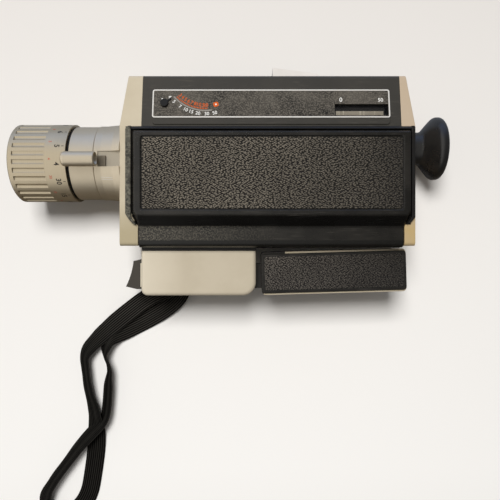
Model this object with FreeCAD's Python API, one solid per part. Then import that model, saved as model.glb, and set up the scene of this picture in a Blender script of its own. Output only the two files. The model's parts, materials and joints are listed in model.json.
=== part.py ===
import FreeCAD, Part

import math
import os

# Cartridge movie camera, lying on its right side, in millimetres.
# The sizes are written in the camera's own frame: x runs from the front face of the body to the rear,
# y from the lens axis to the top, z from the middle plane to the camera's left side.
# Every piece is moved at the end, so that the origin is under the middle of the camera on the table.

V = FreeCAD.Vector
AXES = {"x": V(1, 0, 0), "y": V(0, 1, 0), "z": V(0, 0, 1)}

# Body
BODY_LENGTH = 181.0
BODY_BELOW = 54.0
BODY_ABOVE = 52.1
SHOULDER = 19.3
HALF_WIDTH = 24.0
TOP_HALF_WIDTH = 19.0
LEAN = 4.5
EDGE_RADIUS = 2.4
WALL = 2.0
PLAY = 0.3
FIT = 0.05
FRONT_WRAP = 11.2
FRONT_WRAP_TOP = 13.3
REAR_WRAP = 6.6
REAR_WRAP_TOP = 8.4
TABLE = 30.0

# Chassis
DECK = 17.3
DECK_THICKNESS = 1.5
FLOOR_LIFT = 2.2
BULKHEAD = 2.0
CHASSIS_HALF = 21.6
CHAMBER_FRONT = 43.0
CHAMBER_LENGTH = 75.5
CHAMBER_WALL = 1.5
CHAMBER_FLOOR = -2.4
PLATE_HALF = 15.4
PLATE_DROP = 1.3
RISER = 1.9

# Film door and right cover
DOOR_FRONT = 7.6
DOOR_END = 3.0
DOOR_TOP = 16.9
DOOR_WAIST = -42.5
DOOR_CORNER = 6.4
DOOR_FACE = 31.0
FACE_INSET = 2.6
FACE_END = 1.8
FACE_TOP = 14.7
FACE_BOTTOM = -35.0
COVER_WALL = 1.4
DOOR_STEP = 0.3
HINGE_RADIUS = 4.2
HINGE_PIN = 1.0
LEATHER_MARGIN = 4.2
DOOR_BORDER = 2.7
COVER_BORDER = 3.8
LEATHER_DEPTH = 0.8
LEATHER_GAP = 0.8
RIM_FRONT = 3.9
RIM_RISE = 2.2
RIM_CORNER = 2.4
PAD_THICKNESS = 0.5

# Lens
BARREL_LENGTH = 16.2
BARREL_RADIUS = 24.0
BARREL_ROOT = 26.3
ZOOM_RING_LENGTH = 16.0
ZOOM_RING_RADIUS = 23.6
SPIGOT_RADIUS = 22.0
SEAM = 1.0
FOCUS_RADIUS = 25.0
FOCUS_LENGTH = 35.8
FILTER_RADIUS = 23.0
FILTER_DEPTH = 7.0
LENS_SEAT = 22.3
FLUTES = 30
FLUTE_RADIUS = 1.9
DOME_RADIUS = 68.0
WEB_DEPTH = 16.0
TUBE_RADIUS = 18.5
TUBE_WALL = 1.0
LEVER_RADIUS = 4.5
LEVER_LENGTH = 20.3
LEVER_HEIGHT = 30.6
LEVER_DROP = -1.9
ZOOM_TRAVEL = 7.0
ZOOM_CELL_LENGTH = 10.0
PRIME_RADIUS = 8.0
PRISM = 9.0
METER_RADIUS = 4.4
METER_DROP = 12.6

# Finder
FINDER_HEIGHT = 11.4
FINDER_Z = -8.3
FINDER_RADIUS = 4.3
EYE_TUBE_RADIUS = 9.0
EYECUP_NECK = 10.9
EYECUP_SLEEVE = 11.6
EYECUP_RADIUS = 20.8
EYECUP_LENGTH = 26.0

# Drive
SHAFT_RADIUS = 1.5
SHUTTER_AT = (-12.5, -5.0)
SHUTTER_RADIUS = 17.0
SHUTTER_X = 29.6
GEAR_MODULE = 0.35
GEAR_TEETH = 48
PINION_TEETH = 12
GEAR_X = 33.0
GEAR_WIDTH = 3.0
MOTOR_Z = -14.0
MOTOR_RADIUS = 9.2
MOTOR_LENGTH = 32.0
MOTOR_SHAFT = 1.0
WORM_PITCH = 1.6
WORM_RADIUS = 2.2
WORM_TEETH = 36
WORM_START = 85.6
WORM_END = 98.4
TAKEUP_X = 92.0
CLAW_TRAVEL = 2.1
CLAW_X = 40.2

# Upper side panel, name plate, counter and knob, measured along and out of the slanted side
NAME_FRONT = 19.9
NAME_END = 15.3
NAME_LOW = 5.0
NAME_HIGH = 23.2
NAME_THICKNESS = 0.9
BORDER_WIDTH = 0.8
BORDER_RISE = 1.2
BORDER_CORNER = 1.4
PAD_LOW = 0.9
PAD_RISE = 0.7
PAD_CORNER = 2.0
WINDOW_LENGTH = 33.0
WINDOW_HEIGHT = (6.7, 13.9)
COUNTER_RADIUS = 6.0
COUNTER_SHAFT = 1.0
KNOB_X = 27.3
KNOB_HEIGHT = 14.2
KNOB_RADIUS = 2.5
PANEL_WALL = 1.8

# Circuit board
BOARD_LENGTH = 50.0
BOARD_HALF = 14.0
BOARD_THICKNESS = 1.5
BOARD_LIFT = 3.0

# Top rocker
ROCKER_X = 108.4
ROCKER_HALF = 14.4
ROCKER_Z = (1.0, 15.0)
ROCKER_RISE = 6.1
ROCKER_TAIL = 2.4
ROCKER_PIVOT = 47.5
ROCKER_PIN = 1.2

# Grip block, trigger and folding handle
GRIP_FRONT = 10.9
GRIP_REAR = 83.5
GRIP_BOTTOM = -85.5
GRIP_HALF = 15.0
GRIP_FRONT_RADIUS = 4.0
GRIP_REAR_RADIUS = 8.5
GRIP_EDGE = 2.4
GUARD_REACH = 2.0
GUARD_WALL = 1.6
GRIP_SCREW = (58.0, -64.0)
TRIGGER_HALF = 5.0
TRIGGER_PIVOT = (14.6, -61.5)
TRIGGER_TIP = (-1.0, -80.5)
PIVOT = (74.7, -73.7)
PIN_RADIUS = 2.0
TONGUE_HALF = 5.8
TONGUE_RADIUS = 8.0
HANDLE_FRONT = 12.3
HANDLE_REAR = 104.0
HANDLE_LOW = -11.9
HANDLE_HIGH = 15.2
HANDLE_CORE_HALF = 13.2
HANDLE_TILT = 1.6
HANDLE_INSET = 1.1
SOCKET_X = 45.0
SOCKET_RADIUS = 3.175
SOCKET_LENGTH = 8.0

# Power
CELL_RADIUS = 7.1
CELL_GAP = 0.8
CONTACT_ROOM = 3.1

# Strap
STRAP_WIDTH = 13.0
STRAP_THICKNESS = 1.2
LUG = (32.0, -70.0, -18.6)
LUG_RADIUS = 1.1
LUG_SPAN = 15.4

# Where the strap runs, from the lug round the loop and back to the lug
STRAP_ROUTE = [
    (32.0, -71.7, -17.8),
    (31.6, -79.5, -18.8),
    (20.5, -84.5, -20.2),
    (7.6, -90.0, -22.2),
    (-6.5, -101.8, -24.5),
    (-20.5, -113.0, -26.6),
    (-32.5, -122.8, -28.4),
    (-40.5, -131.5, -29.3),
    (-38.8, -143.0, -29.4),
    (-37.6, -155.5, -29.4),
    (-33.8, -170.5, -29.4),
    (-30.6, -185.5, -29.4),
    (-31.0, -200.5, -29.4),
    (-33.2, -217.0, -29.4),
    (-36.0, -233.0, -29.4),
    (-45.0, -245.0, -29.4),
    (-60.0, -247.0, -29.4),
    (-68.0, -236.5, -29.4),
    (-63.5, -221.5, -29.4),
    (-53.5, -208.5, -29.0),
    (-43.5, -196.0, -28.0),
    (-34.0, -185.8, -27.2),
    (-26.0, -177.5, -27.3),
    (-23.2, -166.0, -28.4),
    (-22.4, -152.0, -29.4),
    (-19.4, -141.0, -29.4),
    (-24.6, -130.5, -29.4),
    (-22.5, -121.5, -29.4),
    (-9.5, -117.0, -29.4),
    (8.0, -108.0, -28.6),
    (21.5, -98.5, -26.4),
    (29.3, -89.5, -23.4),
    (31.9, -80.0, -21.0),
    (32.0, -71.7, -19.4),
]

# Worked out from the sizes above
DOOR_REAR = BODY_LENGTH - DOOR_END
FACE_FRONT = DOOR_FRONT + FACE_INSET
FACE_REAR = DOOR_REAR - FACE_END
NAME_REAR = BODY_LENGTH - NAME_END
WINDOW = (NAME_REAR - WINDOW_LENGTH - 0.9, NAME_REAR - 0.9)
TUBE_BORE = TUBE_RADIUS - TUBE_WALL
FLOOR = -BODY_BELOW + FLOOR_LIFT
SLANT = math.degrees(math.atan((HALF_WIDTH - TOP_HALF_WIDTH) / (BODY_ABOVE - SHOULDER)))
LENS_FRONT = -(BARREL_LENGTH + ZOOM_RING_LENGTH + SEAM + FOCUS_LENGTH)
SEAM_FRONT = -(BARREL_LENGTH + ZOOM_RING_LENGTH + SEAM)
EYE_START = BODY_LENGTH + PLAY
EYE_END = EYE_START + EYECUP_LENGTH
ROCKER_PEAK = BODY_ABOVE + ROCKER_RISE
CHAMBER_REAR = CHAMBER_FRONT + CHAMBER_LENGTH
CELL_START = CHAMBER_REAR + CHAMBER_WALL + CELL_GAP
BOARD_START = CHAMBER_FRONT - 3.0
LENS_WEB = SEAM_FRONT - WEB_DEPTH
WRAP_REAR = BODY_LENGTH - REAR_WRAP
CELL_LENGTH = WRAP_REAR - CELL_START - CONTACT_ROOM
CHASSIS_REAR = WRAP_REAR + BULKHEAD
BULK_FRONT = FRONT_WRAP - BULKHEAD
COVER_FACE = TABLE
DOOR_BASE = HALF_WIDTH + DOOR_STEP
HINGE = (-BODY_BELOW + HINGE_RADIUS - 1.0, HALF_WIDTH - HINGE_RADIUS)
PLATE_BOTTOM = -BODY_BELOW - PLATE_DROP
GRIP_TOP = PLATE_BOTTOM - RISER
SLOT_FRONT = -BARREL_LENGTH - ZOOM_RING_LENGTH - 0.4
GEAR_DISTANCE = GEAR_MODULE * (GEAR_TEETH + PINION_TEETH) / 2 + 0.05
MOTOR_AT = (
    SHUTTER_AT[0] - math.sqrt(GEAR_DISTANCE ** 2 - (MOTOR_Z - SHUTTER_AT[1]) ** 2),
    MOTOR_Z,
)
WHEEL_RADIUS = WORM_TEETH * WORM_PITCH / (2 * math.pi)
TAKEUP_Y = MOTOR_AT[0] - WORM_RADIUS - WHEEL_RADIUS
FINDER_AT = (FINDER_HEIGHT, FINDER_Z)
PLACE = V(
    -(LENS_FRONT + EYE_END) / 2,
    -(GRIP_BOTTOM + ROCKER_PEAK) / 2,
    TABLE,
)


def box(x, y, z):
    """Block between three pairs of low and high values."""
    return Part.makeBox(x[1] - x[0], y[1] - y[0], z[1] - z[0], V(x[0], y[0], z[0]))


def rod(axis, span, radius, at=(0.0, 0.0)):
    """Round bar along one axis; at gives the two other coordinates in order."""
    base = {
        "x": V(span[0], at[0], at[1]),
        "y": V(at[0], span[0], at[1]),
        "z": V(at[0], at[1], span[0]),
    }[axis]
    return Part.makeCylinder(radius, span[1] - span[0], base, AXES[axis])


def tube(axis, span, outer, bore, at=(0.0, 0.0)):
    """Round tube along one axis."""
    return rod(axis, span, outer, at).cut(rod(axis, span, bore, at))


def joined(first, *others):
    """One solid from several that touch or overlap."""
    return first.fuse(list(others)).removeSplitter()


def cut_by(shape, *tools):
    """The shape without any of the tools."""
    return shape.cut(list(tools))


def face_of(points):
    """Flat face inside a closed outline of points."""
    return Part.Face(Part.makePolygon(points + [points[0]]))


def prism_x(points, span):
    """Outline of (y, z) points pushed along x."""
    face = face_of([V(span[0], y, z) for y, z in points])
    return face.extrude(V(span[1] - span[0], 0, 0))


def prism_z(points, span):
    """Outline of (x, y) points pushed along z."""
    face = face_of([V(x, y, span[0]) for x, y in points])
    return face.extrude(V(0, 0, span[1] - span[0]))


def turned_x(points, at=(0.0, 0.0)):
    """Outline of (x, radius) points turned about an axis along x."""
    face = face_of([V(x, at[0] + r, at[1]) for x, r in points])
    return face.revolve(V(0, at[0], at[1]), AXES["x"], 360)


def rounded(shape, radius, wanted):
    """The shape with the wanted edges rounded."""
    edges = [edge for edge in shape.Edges if wanted(edge)]
    return shape.makeFillet(radius, edges)


def runs_along(edge, axis):
    """True for a straight edge that is parallel to an axis."""
    if not isinstance(edge.Curve, Part.Line):
        return False
    return abs(edge.tangentAt(edge.FirstParameter).dot(AXES[axis])) > 0.999


def flipped(shape):
    """The shape on the camera's other side."""
    return shape.mirror(V(0, 0, 0), AXES["z"])


def slanted(shape):
    """A shape drawn upright at the shoulder, laid against the slanted upper side."""
    turned = shape.copy()
    turned.rotate(V(0, SHOULDER, HALF_WIDTH), AXES["x"], -SLANT)
    return turned


def on_panel(x, height, out):
    """Block on the upper side: along x, up the slant, and out of it."""
    low, high = height
    return slanted(box(x, (SHOULDER + low, SHOULDER + high), (HALF_WIDTH + out[0], HALF_WIDTH + out[1])))


def save(name, shape):
    """Write one piece, or a group of like pieces, in the place where it lies on the table."""
    placed = shape.copy()
    placed.translate(PLACE)
    placed.exportStep("parts/" + name + ".step")


def section(inset):
    """Cross section of the body as (y, z) points, drawn in by the inset."""
    low = -BODY_BELOW + inset
    top = BODY_ABOVE - inset
    side = HALF_WIDTH - inset
    crown = TOP_HALF_WIDTH - inset
    return [(low, -side), (low, side), (SHOULDER, side), (top, crown), (top, -crown), (SHOULDER, -side)]


def envelope(span, inset):
    """The body's outer form between two places along x, with its long edges rounded."""
    solid = prism_x(section(inset), span)
    radius = max(EDGE_RADIUS - inset, 0.3)
    return rounded(solid, radius, lambda e: runs_along(e, "x") and abs(e.CenterOfMass.y - SHOULDER) > 1)


def leaning(offset, side, wrap, wrap_top):
    """Outline in (x, y) of an end casting: its leaning end face and where it stops on the side."""
    high = BODY_ABOVE + 1
    end = 0 if side > 0 else BODY_LENGTH
    lean = LEAN * (high - SHOULDER) / (BODY_ABOVE - SHOULDER)
    return [
        (end + side * offset, -BODY_BELOW - 1),
        (end + side * offset, SHOULDER),
        (end + side * (offset + lean), high),
        (end + side * wrap_top, high),
        (end + side * wrap_top, SHOULDER - 0.3),
        (end + side * wrap, SHOULDER - 0.3),
        (end + side * wrap, -BODY_BELOW - 1),
    ]


def end_casting(side, wrap, wrap_top):
    """Hollow champagne casting that closes one end of the body."""
    width = (-HALF_WIDTH - 1, HALF_WIDTH + 1)
    reach = (-1, 40) if side > 0 else (BODY_LENGTH - 40, BODY_LENGTH + 1)
    outer = envelope(reach, 0).common(prism_z(leaning(0, side, wrap, wrap_top), width))
    hollow = envelope(reach, WALL).common(prism_z(leaning(WALL, side, 30, 30), width))
    return outer.cut(hollow)


def boss_places(height):
    """Where an end casting is screwed to the chassis, as (y, z); height is that of the upper pair."""
    return [(-44.5, 14.0), (-44.5, -17.0), (height, 18.0), (height, -18.0)]


def front_casting():
    """Front casting with the hole for the lens and four screw bosses."""
    shell = end_casting(1, FRONT_WRAP, FRONT_WRAP_TOP)
    posts = [rod("x", (WALL, BULK_FRONT), 2.4, at) for at in boss_places(12.0)]
    return joined(shell, *posts).cut(rod("x", (-1, WALL + 1), TUBE_RADIUS))


def rear_casting():
    """Rear casting with the hole for the eyepiece tube."""
    shell = end_casting(-1, REAR_WRAP, REAR_WRAP_TOP)
    posts = [rod("x", (CHASSIS_REAR, BODY_LENGTH - WALL), 2.4, at) for at in boss_places(-4.0)]
    hole = rod("x", (BODY_LENGTH - WALL - 1, BODY_LENGTH + 1), EYE_TUBE_RADIUS, FINDER_AT)
    slot = box((BODY_LENGTH - WALL - 1, BODY_LENGTH + 1), (-24.5, -12.5), (9.0, 14.0))
    return cut_by(joined(shell, *posts), hole, slot)


def chassis():
    """Inner frame: bulkheads, deck, film chamber, bearings and battery cradle."""
    height = (FLOOR, DECK + DECK_THICKNESS)
    half = (-CHASSIS_HALF, CHASSIS_HALF)
    chamber_y = (FLOOR, DECK)
    walls = [
        box((CHASSIS_REAR - BULKHEAD, CHASSIS_REAR), height, half),
        box((BULK_FRONT, CHASSIS_REAR), (DECK, DECK + DECK_THICKNESS), half),
        box((BULK_FRONT, CHAMBER_FRONT), (FLOOR, FLOOR + CHAMBER_WALL), (-PLATE_HALF, PLATE_HALF)),
        box((CHAMBER_FRONT, CHAMBER_REAR), (FLOOR, FLOOR + CHAMBER_WALL), (-PLATE_HALF, CHAMBER_FLOOR)),
        box((CHAMBER_REAR, CHASSIS_REAR), (FLOOR, FLOOR + CHAMBER_WALL), (-PLATE_HALF, PLATE_HALF)),
        box((CHAMBER_FRONT, CHAMBER_FRONT + CHAMBER_WALL), chamber_y, half),
        box((CHAMBER_REAR, CHAMBER_REAR + CHAMBER_WALL), chamber_y, half),
        box((CHAMBER_FRONT, CHAMBER_REAR), chamber_y, (CHAMBER_FLOOR - CHAMBER_WALL, CHAMBER_FLOOR)),
    ]
    prime_boss = rod("x", (BULK_FRONT, SHUTTER_X - 2.6), PRIME_RADIUS + 1.5)
    bearing_arm = box((SHUTTER_X - 4.4, SHUTTER_X - 2.6), (-16.5, -8.0), (-9.0, -1.0))
    worm_rib = box((WORM_END + 1.0, WORM_END + 2.6), (-22.0, -14.0), (-18.0, CHAMBER_FLOOR - CHAMBER_WALL))
    takeup_boss = rod("z", (-9.0, CHAMBER_FLOOR - CHAMBER_WALL), 3.6, (TAKEUP_X, TAKEUP_Y))
    studs = [rod("x", (CLAW_X - 0.6, CHAMBER_FRONT), 1.0, (y, 3.5)) for y in (-22.0, -30.0)]
    frame = joined(
        box((BULK_FRONT, BULK_FRONT + BULKHEAD), height, half),
        *walls, prime_boss, bearing_arm, worm_rib, takeup_boss, *studs,
        *cradle(), *counter_posts(), *prism_shelves(), *board_posts(),
    )
    long_x = (0, BODY_LENGTH)
    return cut_by(
        frame,
        rod("x", (BULK_FRONT, SHUTTER_X), PRIME_RADIUS),
        rod("x", (0, CHAMBER_REAR + 5), FINDER_RADIUS, FINDER_AT),
        rod("x", (CHAMBER_REAR + 5, BODY_LENGTH), EYE_TUBE_RADIUS, FINDER_AT),
        rod("x", (SHUTTER_X - 5, CHAMBER_FRONT + 5), SHAFT_RADIUS + FIT, SHUTTER_AT),
        rod("x", (CHAMBER_FRONT - 1, WORM_END + 11.6), MOTOR_SHAFT + FIT, MOTOR_AT),
        rod("z", (-20, 5), SHAFT_RADIUS + FIT, (TAKEUP_X, TAKEUP_Y)),
        box((CHAMBER_FRONT - 1, CHAMBER_FRONT + 3), (-3.5, 3.5), (CHAMBER_FLOOR, 4.5)),
        box((CHAMBER_FRONT - 1, CHAMBER_FRONT + 3), (-10.2, -3.6), (4.8, 7.2)),
        rod("x", long_x, COUNTER_SHAFT + FIT, counter_axis()),
        rod("x", long_x, HINGE_RADIUS + PLAY, HINGE),
    )


def counter_axis():
    """Middle line of the counter drum, as (y, z), behind the window."""
    middle = (WINDOW_HEIGHT[0] + WINDOW_HEIGHT[1]) / 2
    slope = math.radians(SLANT)
    depth = PANEL_WALL + PLAY + COUNTER_RADIUS
    return (
        SHOULDER + middle * math.cos(slope) - depth * math.sin(slope),
        HALF_WIDTH - middle * math.sin(slope) - depth * math.cos(slope),
    )


def counter_posts():
    """Two posts on the deck that carry the counter drum."""
    y, z = counter_axis()
    ends = (WINDOW[0] - 3.4, WINDOW[1] + 1.9)
    return [box((x, x + 1.5), (DECK + DECK_THICKNESS, y + 3), (z - 3, z + 3)) for x in ends]


def board_posts():
    """Four posts on the deck under the circuit board."""
    top = DECK + DECK_THICKNESS
    places = [(BOARD_START + inset, z) for inset in (5.0, BOARD_LENGTH - 5.0) for z in (-11.0, 11.0)]
    return [rod("y", (top, top + BOARD_LIFT), 1.6, place) for place in places]


def prism_shelves():
    """Shelf in front of the front bulkhead that carries the two prisms."""
    low = -PRISM / 2
    return [
        box((BULK_FRONT - PRISM, BULK_FRONT), (low - 1.2, low), (-PRIME_RADIUS - 1, PRIME_RADIUS + 1)),
        box((BULK_FRONT - PRISM, BULK_FRONT), (FINDER_HEIGHT - 4.3, FINDER_HEIGHT - 3.2), (-11.5, -4.9)),
    ]


def cradle():
    """Shelves behind the film chamber that hold the four cells."""
    x = (CHAMBER_REAR, WRAP_REAR)
    back = cell_rows()[1][0] - CELL_RADIUS
    top = cell_columns()[1] + CELL_RADIUS
    return [
        box(x, (FLOOR, top + 1.4), (back - 1.6, back)),
        box(x, (top + PLAY, top + PLAY + 1.2), (back, back + 4 * CELL_RADIUS)),
    ]


def cell_columns():
    """Heights of the two columns of cells."""
    first = FLOOR + CHAMBER_WALL + CELL_RADIUS
    return (first, first + 2 * CELL_RADIUS + 0.4)


def cell_rows():
    """Middle of the two layers of cells across the body, each in a tuple."""
    return ((6.9,), (6.9 - 2 * CELL_RADIUS - 0.4,))


def batteries():
    """Four round cells with their raised ends."""
    cells = []
    for y in cell_columns():
        for (z,) in cell_rows():
            body = rod("x", (CELL_START, CELL_START + CELL_LENGTH - 1.2), CELL_RADIUS, (y, z))
            tip = rod("x", (CELL_START + CELL_LENGTH - 1.4, CELL_START + CELL_LENGTH), 2.6, (y, z))
            cells.append(joined(body, tip))
    return Part.makeCompound(cells)


def upper_cover():
    """Black shell over the top, with the openings for counter, knob and rocker."""
    width = (-HALF_WIDTH - 1, HALF_WIDTH + 1)
    rise = BODY_ABOVE + 1
    outline = [
        (FRONT_WRAP_TOP, SHOULDER - 0.2),
        (FRONT_WRAP_TOP, rise),
        (BODY_LENGTH - REAR_WRAP_TOP, rise),
        (BODY_LENGTH - REAR_WRAP_TOP, SHOULDER - 0.2),
    ]
    band = prism_z(outline, width)
    shell = envelope((0, BODY_LENGTH), 0).common(band).cut(envelope((-1, BODY_LENGTH + 1), PANEL_WALL))
    window = on_panel(WINDOW, WINDOW_HEIGHT, (-PANEL_WALL - 2, 1))
    y_hole = SHOULDER + KNOB_HEIGHT
    knob_hole = slanted(rod("z", (HALF_WIDTH - 5, HALF_WIDTH + 1), 1.2 + FIT, (KNOB_X, y_hole)))
    slot = box(
        (ROCKER_X - ROCKER_HALF - 0.9, ROCKER_X + ROCKER_HALF + 0.9),
        (BODY_ABOVE - 5, BODY_ABOVE + 2),
        (ROCKER_Z[0] - 0.4, ROCKER_Z[1] + 0.4),
    )
    cover = cut_by(joined(shell, name_pad()), window, knob_hole, slot)
    lugs = [
        box((ROCKER_X - 3, ROCKER_X + 3), (ROCKER_PIVOT - 3, BODY_ABOVE - 1), z)
        for z in ((ROCKER_Z[0] - 2.0, ROCKER_Z[0] - 0.4), (ROCKER_Z[1] + 0.4, ROCKER_Z[1] + 2.0))
    ]
    pivot = rod("z", (ROCKER_Z[0] - 2.0, ROCKER_Z[1] + 2.0), ROCKER_PIN, (ROCKER_X, ROCKER_PIVOT))
    return joined(cover, *lugs).cut(pivot)


def name_pad():
    """Raised pad of the upper cover under the lower edge of the name panel's frame."""
    low, high = SHOULDER + PAD_LOW, SHOULDER + NAME_LOW + 0.5
    pad = box((NAME_FRONT, NAME_REAR), (low, high), (HALF_WIDTH - 1.0, HALF_WIDTH + PAD_RISE))
    pad = rounded(pad, PAD_CORNER, lambda e: runs_along(e, "z") and e.CenterOfMass.y < low + 0.1)
    face = HALF_WIDTH + PAD_RISE
    pad = rounded(pad, 0.4, lambda e: abs(e.CenterOfMass.z - face) < 0.01 and e.CenterOfMass.y < high - 0.1)
    return slanted(pad)


def panel_block(inset, corner, out):
    """Block on the slant as large as the name panel's frame less the inset, with round corners."""
    block = box(
        (NAME_FRONT + inset, NAME_REAR - inset),
        (SHOULDER + NAME_LOW + inset, SHOULDER + NAME_HIGH - inset),
        (HALF_WIDTH + out[0], HALF_WIDTH + out[1]),
    )
    return slanted(rounded(block, corner, lambda e: runs_along(e, "z")))


def nameplate():
    """Name panel without any name, with the opening for the counter and the knob's hole."""
    plate = panel_block(BORDER_WIDTH, BORDER_CORNER - BORDER_WIDTH, (0, NAME_THICKNESS))
    y_hole = SHOULDER + KNOB_HEIGHT
    knob_hole = slanted(rod("z", (HALF_WIDTH - 5, HALF_WIDTH + 2), 1.2 + FIT, (KNOB_X, y_hole)))
    return cut_by(plate, on_panel(WINDOW, WINDOW_HEIGHT, (-1, 2)), knob_hole)


def nameplate_border():
    """Silver frame round the name panel."""
    frame = panel_block(0, BORDER_CORNER, (0, BORDER_RISE))
    return cut_by(frame, panel_block(BORDER_WIDTH, BORDER_CORNER - BORDER_WIDTH, (-1, 3)), name_pad())


def counter_window():
    """Clear pane set in the opening of the upper cover."""
    return on_panel(WINDOW, WINDOW_HEIGHT, (-PANEL_WALL + 0.1, -PANEL_WALL + 1.1))


def counter_drum():
    """Pale drum with the film scale and its shaft."""
    at = counter_axis()
    drum = rod("x", (WINDOW[0] + 0.6, WINDOW[1] - 1.6), COUNTER_RADIUS, at)
    return joined(drum, rod("x", (WINDOW[0] - 3.4, WINDOW[1] + 3.4), COUNTER_SHAFT, at))


def index_knob():
    """Small black knob with a pointer on the name panel."""
    y = SHOULDER + KNOB_HEIGHT
    base = HALF_WIDTH + NAME_THICKNESS + 0.1
    head = rod("z", (base, base + 1.8), KNOB_RADIUS, (KNOB_X, y))
    head = rounded(head, 0.4, lambda e: e.CenterOfMass.z > base + 1.7)
    pointer = box((KNOB_X, KNOB_X + 5.0), (y - 0.45, y + 0.45), (base, base + 0.7))
    pointer.rotate(V(KNOB_X, y, 0), AXES["z"], 38)
    stem = rod("z", (HALF_WIDTH - PANEL_WALL - 1.0, base), 1.2, (KNOB_X, y))
    clip = rod("z", (HALF_WIDTH - PANEL_WALL - 1.0, HALF_WIDTH - PANEL_WALL - 0.3), 2.2, (KNOB_X, y))
    return slanted(joined(head, pointer, stem, clip))


def rocker():
    """Rocker on the top, high in front and low behind."""
    front = ROCKER_X - ROCKER_HALF
    rear = ROCKER_X + ROCKER_HALF
    outline = [
        (front, BODY_ABOVE - 4.6),
        (front, ROCKER_PEAK),
        (front + 2.2, ROCKER_PEAK - 0.4),
        (rear - 1.0, BODY_ABOVE + ROCKER_TAIL),
        (rear, BODY_ABOVE + ROCKER_TAIL - 1.2),
        (rear, BODY_ABOVE - 4.6),
    ]
    cap = prism_z(outline, ROCKER_Z)
    keel = box((ROCKER_X - 3, ROCKER_X + 3), (ROCKER_PIVOT - 2.6, BODY_ABOVE - 4.6), ROCKER_Z)
    return joined(cap, keel).cut(rod("z", ROCKER_Z, ROCKER_PIN + FIT, (ROCKER_X, ROCKER_PIVOT)))


def rocker_pin():
    """Pin that the rocker tilts on."""
    return rod("z", (ROCKER_Z[0] - 2.0, ROCKER_Z[1] + 2.0), ROCKER_PIN, (ROCKER_X, ROCKER_PIVOT))


def circuit_board():
    """Board of the exposure control, on posts on the deck, with a few parts on it."""
    low = DECK + DECK_THICKNESS + BOARD_LIFT
    top = low + BOARD_THICKNESS
    board = box((BOARD_START, BOARD_START + BOARD_LENGTH), (low, top), (-BOARD_HALF, BOARD_HALF))
    places = [(BOARD_START + x, z) for x, z in ((10.0, -7.0), (22.0, -7.0), (10.0, 6.0))]
    cans = [rod("y", (top, top + 7.0), 3.0, place) for place in places]
    chip = box((BOARD_START + 26.0, BOARD_START + 42.0), (top, top + 3.0), (-4.0, 4.0))
    return joined(board, chip, *cans)


def bulge_outline(inset, height):
    """Outline of the raised side at its base (0) or at its face (1), as (x, y) points."""
    front = (DOOR_FRONT, FACE_FRONT)[height] + inset
    rear = (DOOR_REAR, FACE_REAR)[height] - inset
    top = (DOOR_TOP, FACE_TOP)[height] - inset
    low = (DOOR_WAIST, FACE_BOTTOM)[height] + inset
    corner = (DOOR_CORNER, 2.4)[height]
    step = corner * (FRONT_WRAP + 0.4 - DOOR_FRONT) / DOOR_CORNER
    return [
        (front, top), (rear, top), (rear, low + corner),
        (rear - step, low), (front + step, low), (front, low + corner),
    ]


def bulge(face, inset, floor=DOOR_BASE):
    """Raised block with sloping sides from its base to its face."""
    low = [V(x, y, floor) for x, y in bulge_outline(inset, 0)]
    high = [V(x, y, face) for x, y in bulge_outline(inset, 1)]
    faces = [face_of(low), face_of(high)]
    for k in range(len(low)):
        after = (k + 1) % len(low)
        faces.append(face_of([low[k], low[after], high[after], high[k]]))
    solid = Part.makeSolid(Part.makeShell(faces))
    return solid if solid.Volume > 0 else solid.reversed()


def side_cover(face, border):
    """Raised side with its rounded edges, its inner skirt, hollow inside."""
    block = bulge(face, 0)
    middle = (face + DOOR_BASE) / 2
    block = rounded(block, 1.2, lambda e: abs(e.CenterOfMass.z - middle) < 0.1)
    block = rounded(block, 0.9, lambda e: abs(e.CenterOfMass.z - face) < 0.01)
    skirt = box(
        (FRONT_WRAP + 0.4, WRAP_REAR - 0.4),
        (DOOR_WAIST - 0.5, DOOR_TOP),
        (HALF_WIDTH - 1.4, DOOR_BASE),
    )
    hollow = bulge(face - COVER_WALL - 0.8, COVER_WALL)
    lower = box(
        (FRONT_WRAP + 0.4 + COVER_WALL, WRAP_REAR - 0.4 - COVER_WALL),
        (DOOR_WAIST + COVER_WALL, DOOR_TOP - COVER_WALL),
        (HALF_WIDTH - 3, DOOR_BASE),
    )
    recess = leather(face + 1, LEATHER_DEPTH + 1, border, 0)
    return cut_by(joined(block, skirt), hollow, lower, recess)


def leather(top, depth, border, gap):
    """Flat panel with small corners, sunk in the raised face; the gap runs round the panel."""
    x = (FACE_FRONT + LEATHER_MARGIN + gap, FACE_REAR - LEATHER_MARGIN - gap)
    y = (FACE_BOTTOM + border + gap, FACE_TOP - border - gap)
    return rounded(box(x, y, (top - depth, top)), 1.4, lambda e: runs_along(e, "z"))


def film_door():
    """Film door: raised side, lower band and a rolled lower edge round the hinge."""
    x = (FRONT_WRAP + 0.4, WRAP_REAR - 0.4)
    band = box(x, (HINGE[0], DOOR_WAIST + 0.2), (HALF_WIDTH - COVER_WALL, HALF_WIDTH))
    roll = rod("x", x, HINGE_RADIUS, HINGE).cut(rod("x", x, HINGE_RADIUS - COVER_WALL, HINGE))
    quarter = box(x, (HINGE[0] - HINGE_RADIUS - 1, HINGE[0]), (HINGE[1], HALF_WIDTH + 1))
    ears = [
        rod("x", (start, start + 2.0), HINGE_RADIUS - 0.2, HINGE)
        for start in (x[0], x[1] - 2.0)
    ]
    door = joined(side_cover(DOOR_FACE, DOOR_BORDER), band, roll.common(quarter), *ears)
    return door.cut(rod("x", (0, BODY_LENGTH), HINGE_PIN + FIT, HINGE))


def door_hinge_pins():
    """Two pins from the end castings into the door's ears."""
    front = rod("x", (FRONT_WRAP - WALL, FRONT_WRAP + 2.2), HINGE_PIN, HINGE)
    rear = rod("x", (WRAP_REAR - 2.2, WRAP_REAR + WALL), HINGE_PIN, HINGE)
    return Part.makeCompound([front, rear])


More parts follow.
